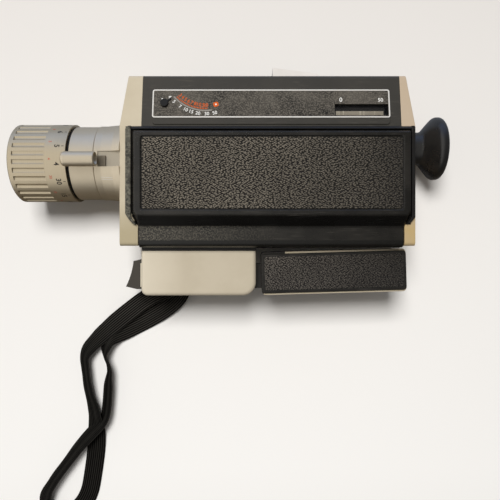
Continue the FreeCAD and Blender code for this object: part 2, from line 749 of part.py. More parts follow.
def pin_blocks(start):
    """Block inside an end casting that holds one hinge pin."""
    low = (HINGE[0] - 2.2, HINGE[0] + 2.6)
    return box((start, start + WALL + 1.4), low, (HINGE[1] - 2.4, HALF_WIDTH - WALL + 0.2))


def pressure_spring():
    """Leaf spring in the door that holds the cartridge against the gate."""
    z = DOOR_FACE - COVER_WALL - 0.8
    foot = box((70.0, 84.0), (-18.0, -6.0), (z - PAD_THICKNESS, z))
    arm = face_of([
        V(84, -15, z), V(104, -15, z - 3.2),
        V(104, -15, z - 3.2 - PAD_THICKNESS), V(84, -15, z - PAD_THICKNESS),
    ])
    return joined(foot, arm.extrude(V(0, 6, 0)))


def door_surround():
    """Textured rim: a ledge above the door and a strip at each end of it."""
    front_inner = DOOR_FRONT - PLAY
    rear_inner = DOOR_REAR + PLAY
    rear_outer = BODY_LENGTH - 0.5
    ledge_low = DOOR_TOP + PLAY
    top = SHOULDER - 0.2
    z = (HALF_WIDTH, HALF_WIDTH + RIM_RISE)
    waist = DOOR_WAIST
    strip = prism_z([
        (RIM_FRONT, top), (front_inner, top), (front_inner, waist + 6.2), (DOOR_FRONT + 3.0, waist + 0.9),
        (DOOR_FRONT + 0.8, waist + 2.1), (DOOR_FRONT - 1.6, waist + 4.9), (RIM_FRONT, waist + 8.1),
    ], z)
    back = prism_z([
        (rear_outer, top), (rear_inner, top), (rear_inner, waist + 6.2), (DOOR_REAR - 2.4, waist + 1.9),
        (DOOR_REAR - 0.4, waist + 2.5), (rear_outer, waist + 6.1),
    ], z)
    ledge = prism_x([
        (ledge_low, HALF_WIDTH), (ledge_low, HALF_WIDTH + RIM_RISE),
        (top, HALF_WIDTH + 0.5), (top, HALF_WIDTH),
    ], (front_inner, rear_inner))
    strip = rounded(strip, RIM_CORNER, lambda e: runs_along(e, "z") and at_corner(e, RIM_FRONT, top))
    back = rounded(back, RIM_CORNER / 2, lambda e: runs_along(e, "z") and at_corner(e, rear_outer, top))
    pieces = [
        rounded(piece, 0.4, lambda e: abs(e.CenterOfMass.z - z[1]) < 0.01 and e.Length > 8)
        for piece in (strip, back, ledge)
    ]
    return joined(*pieces)


def at_corner(edge, x, y):
    """True for an edge whose middle lies at a corner of the outline."""
    return abs(edge.CenterOfMass.x - x) < 0.01 and abs(edge.CenterOfMass.y - y) < 0.01


def right_cover():
    """Right side of the body: raised side, lower band and rim in one piece."""
    x = (FRONT_WRAP + 0.4, WRAP_REAR - 0.4)
    band = box(x, (-BODY_BELOW + 0.2, DOOR_WAIST + 0.2), (HALF_WIDTH - COVER_WALL, HALF_WIDTH))
    lip = box(x, (-BODY_BELOW + 0.2, -BODY_BELOW + 1.6), (PLATE_HALF + PLAY, HALF_WIDTH))
    bridge_y = (DOOR_TOP - 1, DOOR_TOP + PLAY + 1.2)
    bridge = box((x[0] + 8.4, x[1] - 9.0), bridge_y, (HALF_WIDTH, HALF_WIDTH + 1.2))
    cover = joined(side_cover(COVER_FACE, COVER_BORDER), band, lip, bridge, door_surround())
    bosses = [rod("z", (CHASSIS_HALF, COVER_FACE - 1.2), 2.6, at) for at in cover_screw_places()]
    holes = [rod("z", (CHASSIS_HALF - 1, COVER_FACE + 1), 0.85, at) for at in cover_screw_places()]
    sinks = [rod("z", (COVER_FACE - 1.4, COVER_FACE + 1), 1.5, at) for at in cover_screw_places()]
    return flipped(cut_by(joined(cover, *bosses), *holes, *sinks))


def cover_screw_places():
    """Places of the screws in the right cover, over the chassis bulkheads."""
    front = CHAMBER_FRONT + CHAMBER_WALL / 2
    rear = CHAMBER_REAR + CHAMBER_WALL / 2
    low = FACE_BOTTOM + COVER_BORDER / 2
    high = FACE_TOP - COVER_BORDER / 2
    return [(front, low), (front, high), (rear, low), (rear, high)]


def screws():
    """Countersunk screws: four in the right cover and a longer one in the grip block."""
    pieces = [grip_screw()]
    for at in cover_screw_places():
        head = rod("z", (COVER_FACE - 1.4, COVER_FACE - 0.4), 1.45, at)
        groove = box((at[0] - 2, at[0] + 2), (at[1] - 0.2, at[1] + 0.2), (COVER_FACE - 0.9, COVER_FACE))
        shank = rod("z", (CHASSIS_HALF + 0.1, COVER_FACE - 1.3), 0.8, at)
        pieces.append(flipped(joined(head, shank).cut(groove)))
    return Part.makeCompound(pieces)


def door_latch():
    """Ribbed slide on the rear face that releases the door, with its plate inside."""
    slide = box((BODY_LENGTH + 0.2, BODY_LENGTH + 1.9), (-23.0, -14.0), (7.6, 15.4))
    slide = rounded(slide, 0.6, lambda e: abs(e.CenterOfMass.x - BODY_LENGTH - 1.9) < 0.01)
    across = (8.6, 14.4)
    ridges = [box((BODY_LENGTH + 1.5, BODY_LENGTH + 2.4), (y, y + 0.8), across) for y in (-21, -19, -17)]
    stem = box((BODY_LENGTH - WALL - 0.2, BODY_LENGTH + 0.3), (-20.2, -16.8), (9.4, 13.6))
    plate = box((BODY_LENGTH - WALL - 1.4, BODY_LENGTH - WALL - 0.2), (-26.0, -11.0), (7.6, 21.0))
    return joined(slide, stem, plate, *ridges)


def base_plate():
    """Plate under the body, with the riser that the grip block hangs from."""
    x = (FRONT_WRAP + 0.3, WRAP_REAR - 0.3)
    plate = box(x, (PLATE_BOTTOM, FLOOR), (-PLATE_HALF, PLATE_HALF))
    plate = rounded(plate, 0.8, lambda e: runs_along(e, "x") and e.CenterOfMass.y < PLATE_BOTTOM + 0.1)
    half = GRIP_HALF - 0.4
    riser = box((GRIP_FRONT + 0.6, GRIP_REAR), (GRIP_TOP, PLATE_BOTTOM + 1), (-half, half))
    return joined(plate, riser)


def lens_barrel():
    """Fixed barrel with the spigot that the zoom ring turns on."""
    front = -BARREL_LENGTH
    spigot_front = front - ZOOM_RING_LENGTH - seam_width()
    outline = [
        (0, TUBE_RADIUS), (0, BARREL_ROOT), (-5.0, BARREL_RADIUS + 0.7), (-12.0, BARREL_RADIUS),
        (front, BARREL_RADIUS), (front, SPIGOT_RADIUS), (spigot_front, SPIGOT_RADIUS),
        (spigot_front, SPIGOT_RADIUS - WALL), (-3.0, SPIGOT_RADIUS - WALL), (-3.0, TUBE_RADIUS),
    ]
    lug = box((-13.2, -8.6), (-5.0, 1.2), (BARREL_RADIUS - 1.8, BARREL_RADIUS + 0.2))
    flat = box((-13.6, 1.0), (-5.2, 4.1), (BARREL_RADIUS - 0.9, BARREL_ROOT + 1))
    body = joined(turned_x(outline).cut(flat), lug)
    slot = box((SLOT_FRONT, -3.1), (-SPIGOT_RADIUS - 1, -TUBE_RADIUS - 0.5), (-1.25, 1.25))
    return body.cut(slot)


def lens_tube():
    """Inner tube that guides the zoom cell and carries the focus ring."""
    front = SEAM_FRONT - 14.0
    body = tube("x", (front, WALL), TUBE_RADIUS, TUBE_BORE)
    return body.cut(box((SLOT_FRONT, -14), (-TUBE_RADIUS - 1, -TUBE_BORE + 1), (-1.25, 1.25)))


def zoom_ring():
    """Ring that the hand turns to zoom."""
    span = (-BARREL_LENGTH - ZOOM_RING_LENGTH + PLAY, -BARREL_LENGTH - PLAY)
    ring = tube("x", span, ZOOM_RING_RADIUS, SPIGOT_RADIUS + FIT)
    return rounded(ring, 0.4, lambda e: abs(e.BoundBox.YLength - 2 * ZOOM_RING_RADIUS) < 0.01)


def zoom_lever():
    """Round lever along the lens, hollow at its rear, on a stem from the zoom ring."""
    rear = -BARREL_LENGTH - ZOOM_RING_LENGTH - 1.0 + LEVER_LENGTH
    at = (LEVER_DROP, LEVER_HEIGHT)
    bar = rod("x", (rear - LEVER_LENGTH, rear), LEVER_RADIUS, at)
    bar = rounded(bar, 2.2, lambda e: e.BoundBox.XLength < 0.01 and e.CenterOfMass.x < rear - 1)
    bar = rounded(bar, 0.6, lambda e: e.BoundBox.XLength < 0.01 and e.CenterOfMass.x > rear - 0.01)
    cup = Part.makeCone(2.4, 3.7, 3.0, V(rear - 3.0, at[0], at[1]), AXES["x"])
    middle = -BARREL_LENGTH - ZOOM_RING_LENGTH / 2
    stem = box((middle - 5, middle + 5), (LEVER_DROP - 2.6, LEVER_DROP + 2.6), (23.0, LEVER_HEIGHT))
    seat = rod("x", (middle - 6, middle + 6), ZOOM_RING_RADIUS)
    return joined(bar.cut(cup), stem.cut(seat))


def seam_width():
    """Width of the black ring, which leaves the focus ring free to turn."""
    return SEAM - PLAY


def seam_ring():
    """Black ring in the gap between the zoom ring and the focus ring."""
    start = -BARREL_LENGTH - ZOOM_RING_LENGTH
    return tube("x", (start - seam_width(), start), SPIGOT_RADIUS + 1.1, SPIGOT_RADIUS)


def focus_ring():
    """Ribbed front ring with the filter thread and the sleeve that it turns on."""
    x0, x1 = LENS_FRONT, SEAM_FRONT
    web = LENS_WEB
    bore = TUBE_RADIUS + FIT
    outline = [
        (x0, FILTER_RADIUS), (x0, FOCUS_RADIUS - 0.6), (x0 + 0.6, FOCUS_RADIUS), (x1, FOCUS_RADIUS),
        (x1, FOCUS_RADIUS - 1.7), (web + 3, FOCUS_RADIUS - 1.7), (web + 3, 20.5), (web + 10, 20.5),
        (web + 10, bore), (web, bore), (web, LENS_SEAT), (x0 + FILTER_DEPTH, LENS_SEAT),
        (x0 + FILTER_DEPTH, FILTER_RADIUS),
    ]
    ring = turned_x(outline)
    flutes = []
    for k in range(FLUTES):
        groove = rod("x", (x0 + 3.0, x1 - 13.0), FLUTE_RADIUS, (FOCUS_RADIUS + 1.15, 0))
        groove.rotate(V(0, 0, 0), AXES["x"], 360.0 * k / FLUTES)
        flutes.append(groove)
    return cut_by(ring, *flutes)


def front_lens():
    """Front element, domed forwards, seated on the web of the focus ring."""
    x1 = LENS_WEB
    edge = LENS_SEAT - 0.1
    apex = x1 - 9.0
    dome = Part.makeSphere(DOME_RADIUS, V(apex + DOME_RADIUS, 0, 0))
    return rod("x", (apex - 1, x1), edge).common(dome)


def lens_retainer():
    """Threaded black ring that holds the front element."""
    x1 = LENS_WEB
    start = x1 - 7.6
    edge = LENS_SEAT
    return turned_x([(start, edge - 2.0), (start, edge), (x1 - 5.3, edge), (x1 - 5.4, edge - 0.1),
                     (start + 1.0, edge - 2.0)])


def zoom_cell():
    """Cell of the zoom lens with the pin that runs in the slot below."""
    middle = -BARREL_LENGTH - ZOOM_RING_LENGTH / 2 + 0.2
    span = (middle - ZOOM_CELL_LENGTH / 2, middle + ZOOM_CELL_LENGTH / 2)
    cell = tube("x", span, TUBE_BORE - FIT, 13.0)
    pin = rod("y", (-SPIGOT_RADIUS + 0.1, -TUBE_BORE + 1.5), 1.0, (middle, 0))
    return joined(cell, pin)


def zoom_lens():
    """Hollow-ground element of the zoom cell."""
    return turned_x([(-27.0, 0), (-28.4, 13.0), (-20.0, 13.0), (-21.6, 0)])


def exposure_meter():
    """Round meter that turns the iris vane, on a foot against the lens tube."""
    at = (-METER_DROP, 0)
    can = rod("x", (-10.0, -1.0), METER_RADIUS, at)
    foot = box((-8.0, -3.0), (-TUBE_BORE + 0.2, -METER_DROP), (-1.8, 1.8))
    return joined(can, foot).common(rod("x", (-12, 0), TUBE_BORE))


def iris_vane():
    """Thin vane with a teardrop opening, on the meter's shaft."""
    pivot = V(-10.4, -METER_DROP, 0)
    blade = box((-10.8, -10.5), (-METER_DROP - 1.5, 5.5), (-4.6, 4.6))
    hole = rod("x", (-12, -9), 2.6)
    notch = box((-12, -9), (-7.0, 0), (-0.8, 0.8))
    stub = Part.makeCylinder(0.5, 0.35, pivot + V(-0.2, 0, 0), AXES["x"])
    return joined(cut_by(blade, hole, notch), stub)


def prime_lens():
    """Rear element in the boss of the front bulkhead."""
    edge = PRIME_RADIUS
    return turned_x([(12.4, 0), (14.0, edge), (24.0, edge), (25.6, 0)])


def finder_prisms():
    """Beam splitter on the lens axis and the prism of the finder."""
    half = PRISM / 2
    splitter = box((BULK_FRONT - PRISM, BULK_FRONT), (-half, FINDER_HEIGHT - 4.9), (-half, half))
    y, z = FINDER_AT
    corner = box((BULK_FRONT - PRISM, BULK_FRONT), (y - 3.2, y + 2.2), (z - 2.0, z + 3.2))
    wedge = face_of([V(0, 0, 0), V(PRISM + 1, 0, 0), V(0, PRISM + 1, 0)]).extrude(V(0, 0, 20))
    wedge.translate(V(BULK_FRONT - PRISM - 1, -half - 1, -10))
    corner_cut = wedge.copy()
    corner_cut.rotate(V(BULK_FRONT - PRISM, y, 0), AXES["z"], -90)
    corner_cut.translate(V(-2.5, 2.2, z))
    return Part.makeCompound([splitter, corner.cut(corner_cut)])


def finder_tube():
    """Tube of the viewfinder through the bulkheads."""
    return tube("x", (BULK_FRONT, CHAMBER_REAR + 5), FINDER_RADIUS, FINDER_RADIUS - 0.6, FINDER_AT)


def finder_lenses():
    """Two elements inside the finder tube and the eye lens behind them."""
    edge = FINDER_RADIUS - 0.6
    lenses = [eyepiece_lens()]
    for x in (BULK_FRONT + 20.8, CHAMBER_REAR - 8.5):
        lenses.append(turned_x([(x - 0.6, 0), (x, edge), (x + 2.0, edge), (x + 2.6, 0)], FINDER_AT))
    return Part.makeCompound(lenses)


def eyepiece_tube():
    """Tube from the rear bulkhead through the rear casting."""
    return tube("x", (CHASSIS_REAR - 8, EYE_START + 8.0), EYE_TUBE_RADIUS, EYE_TUBE_RADIUS - 1.2, FINDER_AT)


def eyepiece_lens():
    """Eye lens in the rear end of the eyepiece tube."""
    x = EYE_START + 7.0
    edge = EYE_TUBE_RADIUS - 1.2
    return turned_x([(x - 5.0, 0), (x - 4.0, edge), (x + 0.5, edge), (x + 2.0, 0)], FINDER_AT)


def eyecup():
    """Rubber cup: a neck over the eyepiece tube and a wide flared rim."""
    x0, x1 = EYE_START, EYE_END
    flare = x0 + EYECUP_SLEEVE
    rim = x1 - 4.6
    bore = EYE_TUBE_RADIUS + FIT
    stop = x0 + 8.2
    outline = [
        (x0, bore), (x0, EYECUP_NECK), (flare, EYECUP_NECK), (flare + 1.2, EYECUP_NECK + 0.9),
        (rim - 0.6, EYECUP_RADIUS - 0.7), (rim + 0.4, EYECUP_RADIUS), (x1 - 2.4, EYECUP_RADIUS),
        (x1 - 0.6, EYECUP_RADIUS - 0.9), (x1, EYECUP_RADIUS - 2.2), (x1 - 0.6, EYECUP_RADIUS - 3.0),
        (x1 - 3.2, EYECUP_RADIUS - 3.2), (rim - 1.4, EYECUP_RADIUS - 3.6), (flare + 2.4, EYECUP_NECK + 0.1),
        (flare + 0.6, bore + 0.6), (stop + 1.2, bore + 0.6), (stop + 0.6, 8.4), (stop, 8.4), (stop, bore),
    ]
    return turned_x(outline, FINDER_AT)


def gear_blank(teeth, module, thickness, tip=0.30, root=0.42):
    """Spur gear along x at the origin, one tooth on the +y axis."""
    radius = module * teeth / 2
    step = 2 * math.pi / teeth
    points = []
    for k in range(teeth):
        for share, height in ((-0.33, -root), (-0.13, tip), (0.13, tip), (0.33, -root)):
            angle = step * (k + share)
            points.append(V(0, (radius + height) * math.cos(angle), (radius + height) * math.sin(angle)))
    return face_of(points).extrude(V(thickness, 0, 0))


def mesh_angle():
    """Direction from the shutter shaft to the motor shaft, in degrees from +y to +z."""
    return math.degrees(math.atan2(MOTOR_AT[1] - SHUTTER_AT[1], MOTOR_AT[0] - SHUTTER_AT[0]))


def placed_gear(teeth, at, turn):
    """Gear on a shaft along x, turned about it."""
    gear = gear_blank(teeth, GEAR_MODULE, GEAR_WIDTH)
    gear.rotate(V(0, 0, 0), AXES["x"], turn)
    gear.translate(V(GEAR_X, at[0], at[1]))
    return gear


def shutter_shaft():
    """Shaft with the drive gear and the cam of the claw."""
    shaft = rod("x", (SHUTTER_X - 4.2, CHAMBER_FRONT + 1.2), SHAFT_RADIUS, SHUTTER_AT)
    gear = placed_gear(GEAR_TEETH, SHUTTER_AT, mesh_angle() + 180.0 / GEAR_TEETH)
    cam = rod("x", (37.5, 39.3), 3.0, (SHUTTER_AT[0] + CLAW_TRAVEL - 0.3, SHUTTER_AT[1]))
    hub = rod("x", (SHUTTER_X + 0.6, GEAR_X), 3.0, SHUTTER_AT)
    return joined(shaft, gear, cam, hub)


def shutter_disc():
    """Thin disc with an open sector, on the shutter shaft."""
    span = (SHUTTER_X, SHUTTER_X + 0.6)
    disc = rod("x", span, SHUTTER_RADIUS, SHUTTER_AT)
    y, z = SHUTTER_AT
    reach = SHUTTER_RADIUS + 2
    open_part = [(y, z), (y + reach, z + 3), (y + reach, z + reach), (y - 6, z + reach)]
    through = (span[0] - 1, span[1] + 1)
    sector = prism_x(open_part, through)
    hub = rod("x", span, 5.0, SHUTTER_AT)
    return joined(disc.cut(sector), hub).cut(rod("x", through, SHAFT_RADIUS, SHUTTER_AT))


def claw():
    """Pull-down claw: a plate on two studs, its tooth, and a fork round the cam."""
    x = (CLAW_X, CLAW_X + 1.0)
    plate = box(x, (-34.0, -3.8), (0.4, 8.0))
    slots = [
        box((x[0] - 1, x[1] + 1), (y - 1.05 - CLAW_TRAVEL, y + 1.05 + CLAW_TRAVEL), (2.45, 4.55))
        for y in (-22.0, -30.0)
    ]
    tooth = box((x[0], CHAMBER_FRONT + 1.0), (-7.6, -6.4), (5.4, 6.6))
    middle = SHUTTER_AT[0]
    fingers = [
        box((37.6, x[1]), (middle + side - 0.6, middle + side + 0.6), (-6.0, 1.4))
        for side in (-7.9, 7.9)
    ]
    return cut_by(joined(plate, tooth, *fingers), *slots)


def film_gate():
    """Polished plate that the film runs against, with aperture and claw slot."""
    x = (CHAMBER_FRONT + CHAMBER_WALL, CHAMBER_FRONT + CHAMBER_WALL + 0.8)
    plate = box(x, (-16.0, 12.0), (CHAMBER_FLOOR, 13.0))
    aperture = box((x[0] - 1, x[1] + 1), (-2.1, 2.1), (CHAMBER_FLOOR + 0.6, 3.5))
    slot = box((x[0] - 1, x[1] + 1), (-10.0, -3.8), (5.0, 7.0))
    return cut_by(plate, aperture, slot)


def motor():
    """Round motor bolted to the front wall of the film chamber."""
    start = CHAMBER_FRONT + CHAMBER_WALL
    can = rod("x", (start, start + MOTOR_LENGTH), MOTOR_RADIUS, MOTOR_AT)
    can = rounded(can, 0.8, lambda e: e.CenterOfMass.x > start + MOTOR_LENGTH - 0.1)
    boss = rod("x", (start + MOTOR_LENGTH - 0.5, start + MOTOR_LENGTH + 1.5), 3.0, MOTOR_AT)
    return joined(can, boss).cut(rod("x", (0, BODY_LENGTH), MOTOR_SHAFT + FIT, MOTOR_AT))


def worm():
    """Thread of the worm, along x at the origin, as one helical ridge on its core."""
    core_radius = 1.4
    length = WORM_END - WORM_START
    helix = Part.makeHelix(WORM_PITCH, length - WORM_PITCH, core_radius)
    profile = Part.makePolygon([
        V(core_radius - 0.2, 0, -0.42), V(core_radius + 1.2, 0, -0.18),
        V(core_radius + 1.2, 0, 0.18), V(core_radius - 0.2, 0, 0.42), V(core_radius - 0.2, 0, -0.42),
    ])
    ridge = Part.Wire(helix.Edges).makePipeShell([profile], True, True)
    ridge.translate(V(0, 0, WORM_PITCH / 2))
    thread = joined(Part.makeCylinder(core_radius, length), ridge)
    thread.rotate(V(0, 0, 0), AXES["y"], 90)
    return thread


def motor_shaft():
    """Motor shaft with the pinion in front and the worm behind."""
    shaft = rod("x", (GEAR_X - 1.0, 100.8), MOTOR_SHAFT, MOTOR_AT)
    odd = 0 if PINION_TEETH % 2 == 0 else 180.0 / PINION_TEETH
    pinion = placed_gear(PINION_TEETH, MOTOR_AT, mesh_angle() + odd)
    thread = worm()
    thread.rotate(V(0, 0, 0), AXES["x"], worm_phase())
    thread.translate(V(WORM_START, MOTOR_AT[0], MOTOR_AT[1]))
    return joined(shaft, pinion, thread)


def worm_phase():
    """Turn of the worm that puts a ridge level with the take-up axis on the wheel's side."""
    start = WORM_START + WORM_PITCH / 2
    turns = (TAKEUP_X - start) / WORM_PITCH
    return 270.0 - 360.0 * (turns - math.floor(turns))


def takeup_spindle():
    """Take-up spindle: worm wheel, shaft and the keyed head in the film chamber."""
    at = (TAKEUP_X, TAKEUP_Y)
    wheel = gear_blank(WORM_TEETH, WORM_PITCH / math.pi, 2.6, tip=0.4, root=0.6)
    wheel.rotate(V(0, 0, 0), AXES["x"], 180.0 / WORM_TEETH)
    wheel.rotate(V(0, 0, 0), AXES["y"], -90)
    wheel.translate(V(TAKEUP_X, TAKEUP_Y, MOTOR_Z - 1.3))
    shaft = rod("z", (MOTOR_Z - 2.5, CHAMBER_FLOOR + 4.6), SHAFT_RADIUS, at)
    head = rod("z", (CHAMBER_FLOOR + 0.3, CHAMBER_FLOOR + 4.2), 3.0, at)
    key_z = (CHAMBER_FLOOR + 0.3, CHAMBER_FLOOR + 3.6)
    key = box((at[0] - 4.0, at[0] + 4.0), (at[1] - 0.6, at[1] + 0.6), key_z)
    collar = rod("z", (-11.9, -9.2), 3.0, at)
    return joined(wheel, shaft, head, collar, key)


def rounded_block(x, y, z, front_radius, rear_radius, edge):
    """Block with two rounded lower corners and softened rims on both sides."""
    block = box(x, y, z)
    block = rounded(block, front_radius, lambda e: runs_along(e, "z") and at_corner(e, x[0], y[0]))
    block = rounded(block, rear_radius, lambda e: runs_along(e, "z") and at_corner(e, x[1], y[0]))
    middle = (z[0] + z[1]) / 2
    half = (z[1] - z[0]) / 2 - 0.01
    return rounded(
        block, edge,
        lambda e: abs(e.CenterOfMass.z - middle) > half and e.CenterOfMass.y < y[1] - 0.1,
    )


def grip_shell(side):
    """One half of the hollow grip block, side 1 for left and -1 for right."""
    x = (GRIP_FRONT, GRIP_REAR)
    y = (GRIP_BOTTOM, GRIP_TOP)
    z = (-GRIP_HALF, GRIP_HALF)
    outer = rounded_block(x, y, z, GRIP_FRONT_RADIUS, GRIP_REAR_RADIUS, GRIP_EDGE)
    inner = box((x[0] + WALL, x[1] - WALL), (y[0] + WALL, y[1] - WALL), (z[0] + WALL, z[1] - WALL))
    inner = rounded(
        inner, GRIP_REAR_RADIUS - WALL,
        lambda e: runs_along(e, "z") and at_corner(e, x[1] - WALL, y[0] + WALL),
    )
    hollow = outer.cut(inner)
    wall = (TONGUE_HALF + 0.4, GRIP_HALF - WALL + 0.5)
    boss = rod("z", wall, 5.0, PIVOT)
    trigger_boss = rod("z", (TRIGGER_HALF + 0.3, GRIP_HALF - 1), 2.6, TRIGGER_PIVOT)
    socket_wall = rod("y", (GRIP_BOTTOM + 0.5, GRIP_BOTTOM + SOCKET_LENGTH + 2), 7.5, (SOCKET_X, 0))
    post = rod("z", (0.0, GRIP_HALF - 1), 2.6, GRIP_SCREW)
    carrier = box((18.6, 26.0), (GRIP_BOTTOM + 5, GRIP_BOTTOM + 15), (4.4, GRIP_HALF - 1))
    guard_z = (TRIGGER_HALF + PLAY, TRIGGER_HALF + PLAY + GUARD_WALL)
    guard_y = (GRIP_BOTTOM + 4.9, TRIGGER_PIVOT[1] - 3.8)
    guard = box((GRIP_FRONT - GUARD_REACH, GRIP_FRONT + 1), guard_y, guard_z)
    bosses = [boss, trigger_boss, post, carrier, guard]
    if side < 0:
        bosses = [flipped(part) for part in bosses]
    half = box((0, 100), (-100, 0), (0, 20)) if side > 0 else box((0, 100), (-100, 0), (-20, 0))
    trigger_room = TRIGGER_HALF + PLAY
    trigger_y = (GRIP_BOTTOM + 1.2, TRIGGER_PIVOT[1] + 2.6 + PLAY)
    trigger_gap = box((GRIP_FRONT - 1, GRIP_FRONT + 9), trigger_y, (-trigger_room, trigger_room))
    tongue_room = TONGUE_HALF + 0.4
    tongue_y = (GRIP_BOTTOM - 1, PIVOT[1] + 9.2)
    tongue_gap = box((PIVOT[0] - 8.8, GRIP_REAR + 1), tongue_y, (-tongue_room, tongue_room))
    shell = joined(hollow, socket_wall, *bosses).common(half)
    return cut_by(
        shell, trigger_gap, tongue_gap,
        rod("z", (-GRIP_HALF + 1, GRIP_HALF - 1), PIN_RADIUS, PIVOT),
        rod("z", (-GRIP_HALF + 1, GRIP_HALF - 1), 1.2, TRIGGER_PIVOT),
        rod("y", (GRIP_BOTTOM - 1, GRIP_BOTTOM + SOCKET_LENGTH), 6.0, (SOCKET_X, 0)),
        rod("z", (-GRIP_HALF - 1, GRIP_HALF - 3), 1.1, GRIP_SCREW),
        rod("z", (-GRIP_HALF - 1, -GRIP_HALF + 1.2), 2.3, GRIP_SCREW),
    )


def grip_pins():
    """Pins of the handle and of the trigger, held by the two shells."""
    handle = rod("z", (-GRIP_HALF + 1.2, GRIP_HALF - 1.2), PIN_RADIUS, PIVOT)
    trigger_pin = rod("z", (-GRIP_HALF + 1.2, GRIP_HALF - 1.2), 1.2, TRIGGER_PIVOT)
    return Part.makeCompound([handle, trigger_pin])


def grip_screw():
    """Screw that holds the two shells together, from the right side."""
    head = rod("z", (-GRIP_HALF + 0.2, -GRIP_HALF + 1.2), 2.2, GRIP_SCREW)
    x, y = GRIP_SCREW
    groove = box((x - 3, x + 3), (y - 0.3, y + 0.3), (-GRIP_HALF, -GRIP_HALF + 0.7))
    return joined(head, rod("z", (-GRIP_HALF + 1.1, GRIP_HALF - 4), 1.05, GRIP_SCREW)).cut(groove)


def trigger():
    """Trigger with a hollowed front, hung from a pin inside the grip block."""
    x, y = TRIGGER_PIVOT
    tip = V(TRIGGER_TIP[0], TRIGGER_TIP[1], -TRIGGER_HALF)
    top = V(3.9, -63.9, -TRIGGER_HALF)
    middle = V(2.3, -72.2, -TRIGGER_HALF)
    front = Part.Arc(top, middle, tip).toShape()
    rest = Part.makePolygon([
        tip, V(6.2, -82.2, -TRIGGER_HALF), V(12.6, -82.0, -TRIGGER_HALF), V(13.6, -70.0, -TRIGGER_HALF),
        V(x + 2.8, y - 0.5, -TRIGGER_HALF), V(x + 1.0, y + 2.6, -TRIGGER_HALF),
        V(8.6, -62.8, -TRIGGER_HALF), top,
    ])
    solid = Part.Face(Part.Wire([front] + rest.Edges)).extrude(V(0, 0, 2 * TRIGGER_HALF))
    coil_room = rod("z", (-2.2, 2.2), 3.4, TRIGGER_PIVOT)
    return cut_by(solid, rod("z", (-6, 6), 1.2 + FIT, TRIGGER_PIVOT), coil_room)


def trigger_spring():
    """Coil spring round the trigger pin that pushes the trigger forwards."""
    turns = Part.makeHelix(0.9, 3.6, 1.9)
    ring = Part.Wire(Part.makeCircle(0.35, V(1.9, 0, 0), V(0, 1, 0)))
    coil = Part.Wire(turns.Edges).makePipeShell([ring], True, True)
    coil.translate(V(TRIGGER_PIVOT[0], TRIGGER_PIVOT[1], -1.8))
    return coil


def trigger_switch():
    """Switch behind the trigger, between two carriers of the shells."""
    case = box((19.0, 25.6), (-80.0, -71.0), (-4.3, 4.3))
    return joined(case, rod("x", (16.2, 19.2), 1.2, (-75.0, 0)))


def tripod_socket():
    """Threaded bush for a tripod screw in the bottom of the grip block."""
    span = (GRIP_BOTTOM, GRIP_BOTTOM + SOCKET_LENGTH)
    return tube("y", span, 6.0, SOCKET_RADIUS, (SOCKET_X, 0))


def strap_lug():
    """Wire staple on the right side of the grip block that the strap is looped round."""
    x, y, z = LUG
    half = LUG_SPAN / 2
    bar = rod("x", (x - half, x + half), LUG_RADIUS, (y, z))
    legs = [rod("z", (z, -GRIP_HALF), LUG_RADIUS, (x + side * half, y)) for side in (-1, 1)]
    knees = [Part.makeSphere(LUG_RADIUS, V(x + side * half, y, z)) for side in (-1, 1)]
    return joined(bar, *legs, *knees)


def laid(shape):
    """A handle piece, drawn level from its pivot, tilted and put at the pivot."""
    piece = shape.copy()
    piece.rotate(V(0, 0, 0), AXES["z"], HANDLE_TILT)
    piece.translate(V(PIVOT[0], PIVOT[1], 0))
    return piece


def handle_core():
    """Handle: a hollow bar with the tongue that turns on the pin."""
    x = (HANDLE_FRONT, HANDLE_REAR)
    y = (HANDLE_LOW, HANDLE_HIGH)
    z = (-HANDLE_CORE_HALF, HANDLE_CORE_HALF)
    bar = box(x, y, z)
    bar = rounded(bar, 2.4, lambda e: runs_along(e, "z"))
    hollow = box((x[0] + 3, x[1] - 3), (y[0] + 3, y[1] - 3), (z[0] - 1, z[1] + 1))
    floor = box((x[0] + 1, x[1] - 1), (y[0] + 1, y[1] - 1), (-1, 1))
    tongue_z = (-TONGUE_HALF, TONGUE_HALF)
    eye = rod("z", tongue_z, TONGUE_RADIUS)
    neck = box((0, HANDLE_FRONT + 1), (-TONGUE_RADIUS, TONGUE_RADIUS), tongue_z)
    core = joined(bar.cut(hollow), floor, eye, neck)
    return laid(core.cut(rod("z", tongue_z, PIN_RADIUS + FIT)))


def handle_cover(side):
    """Leatherette side cover of the handle."""
    x = (HANDLE_FRONT + 0.2, HANDLE_REAR - 0.2)
    y = (HANDLE_LOW + HANDLE_INSET, HANDLE_HIGH - HANDLE_INSET)
    z = (HANDLE_CORE_HALF, GRIP_HALF)
    cover = rounded(box(x, y, z), 2.0, lambda e: runs_along(e, "z"))
    cover = rounded(cover, 0.8, lambda e: abs(e.CenterOfMass.z - z[1]) < 0.01)
    rib_y = (HANDLE_LOW + 3.4, HANDLE_LOW + 4.6)
    rib = box((x[0] + 3.2, x[1] - 3.2), rib_y, (HANDLE_CORE_HALF - 2, HANDLE_CORE_HALF))
    cover = joined(cover, rib)
    return laid(cover if side > 0 else flipped(cover))


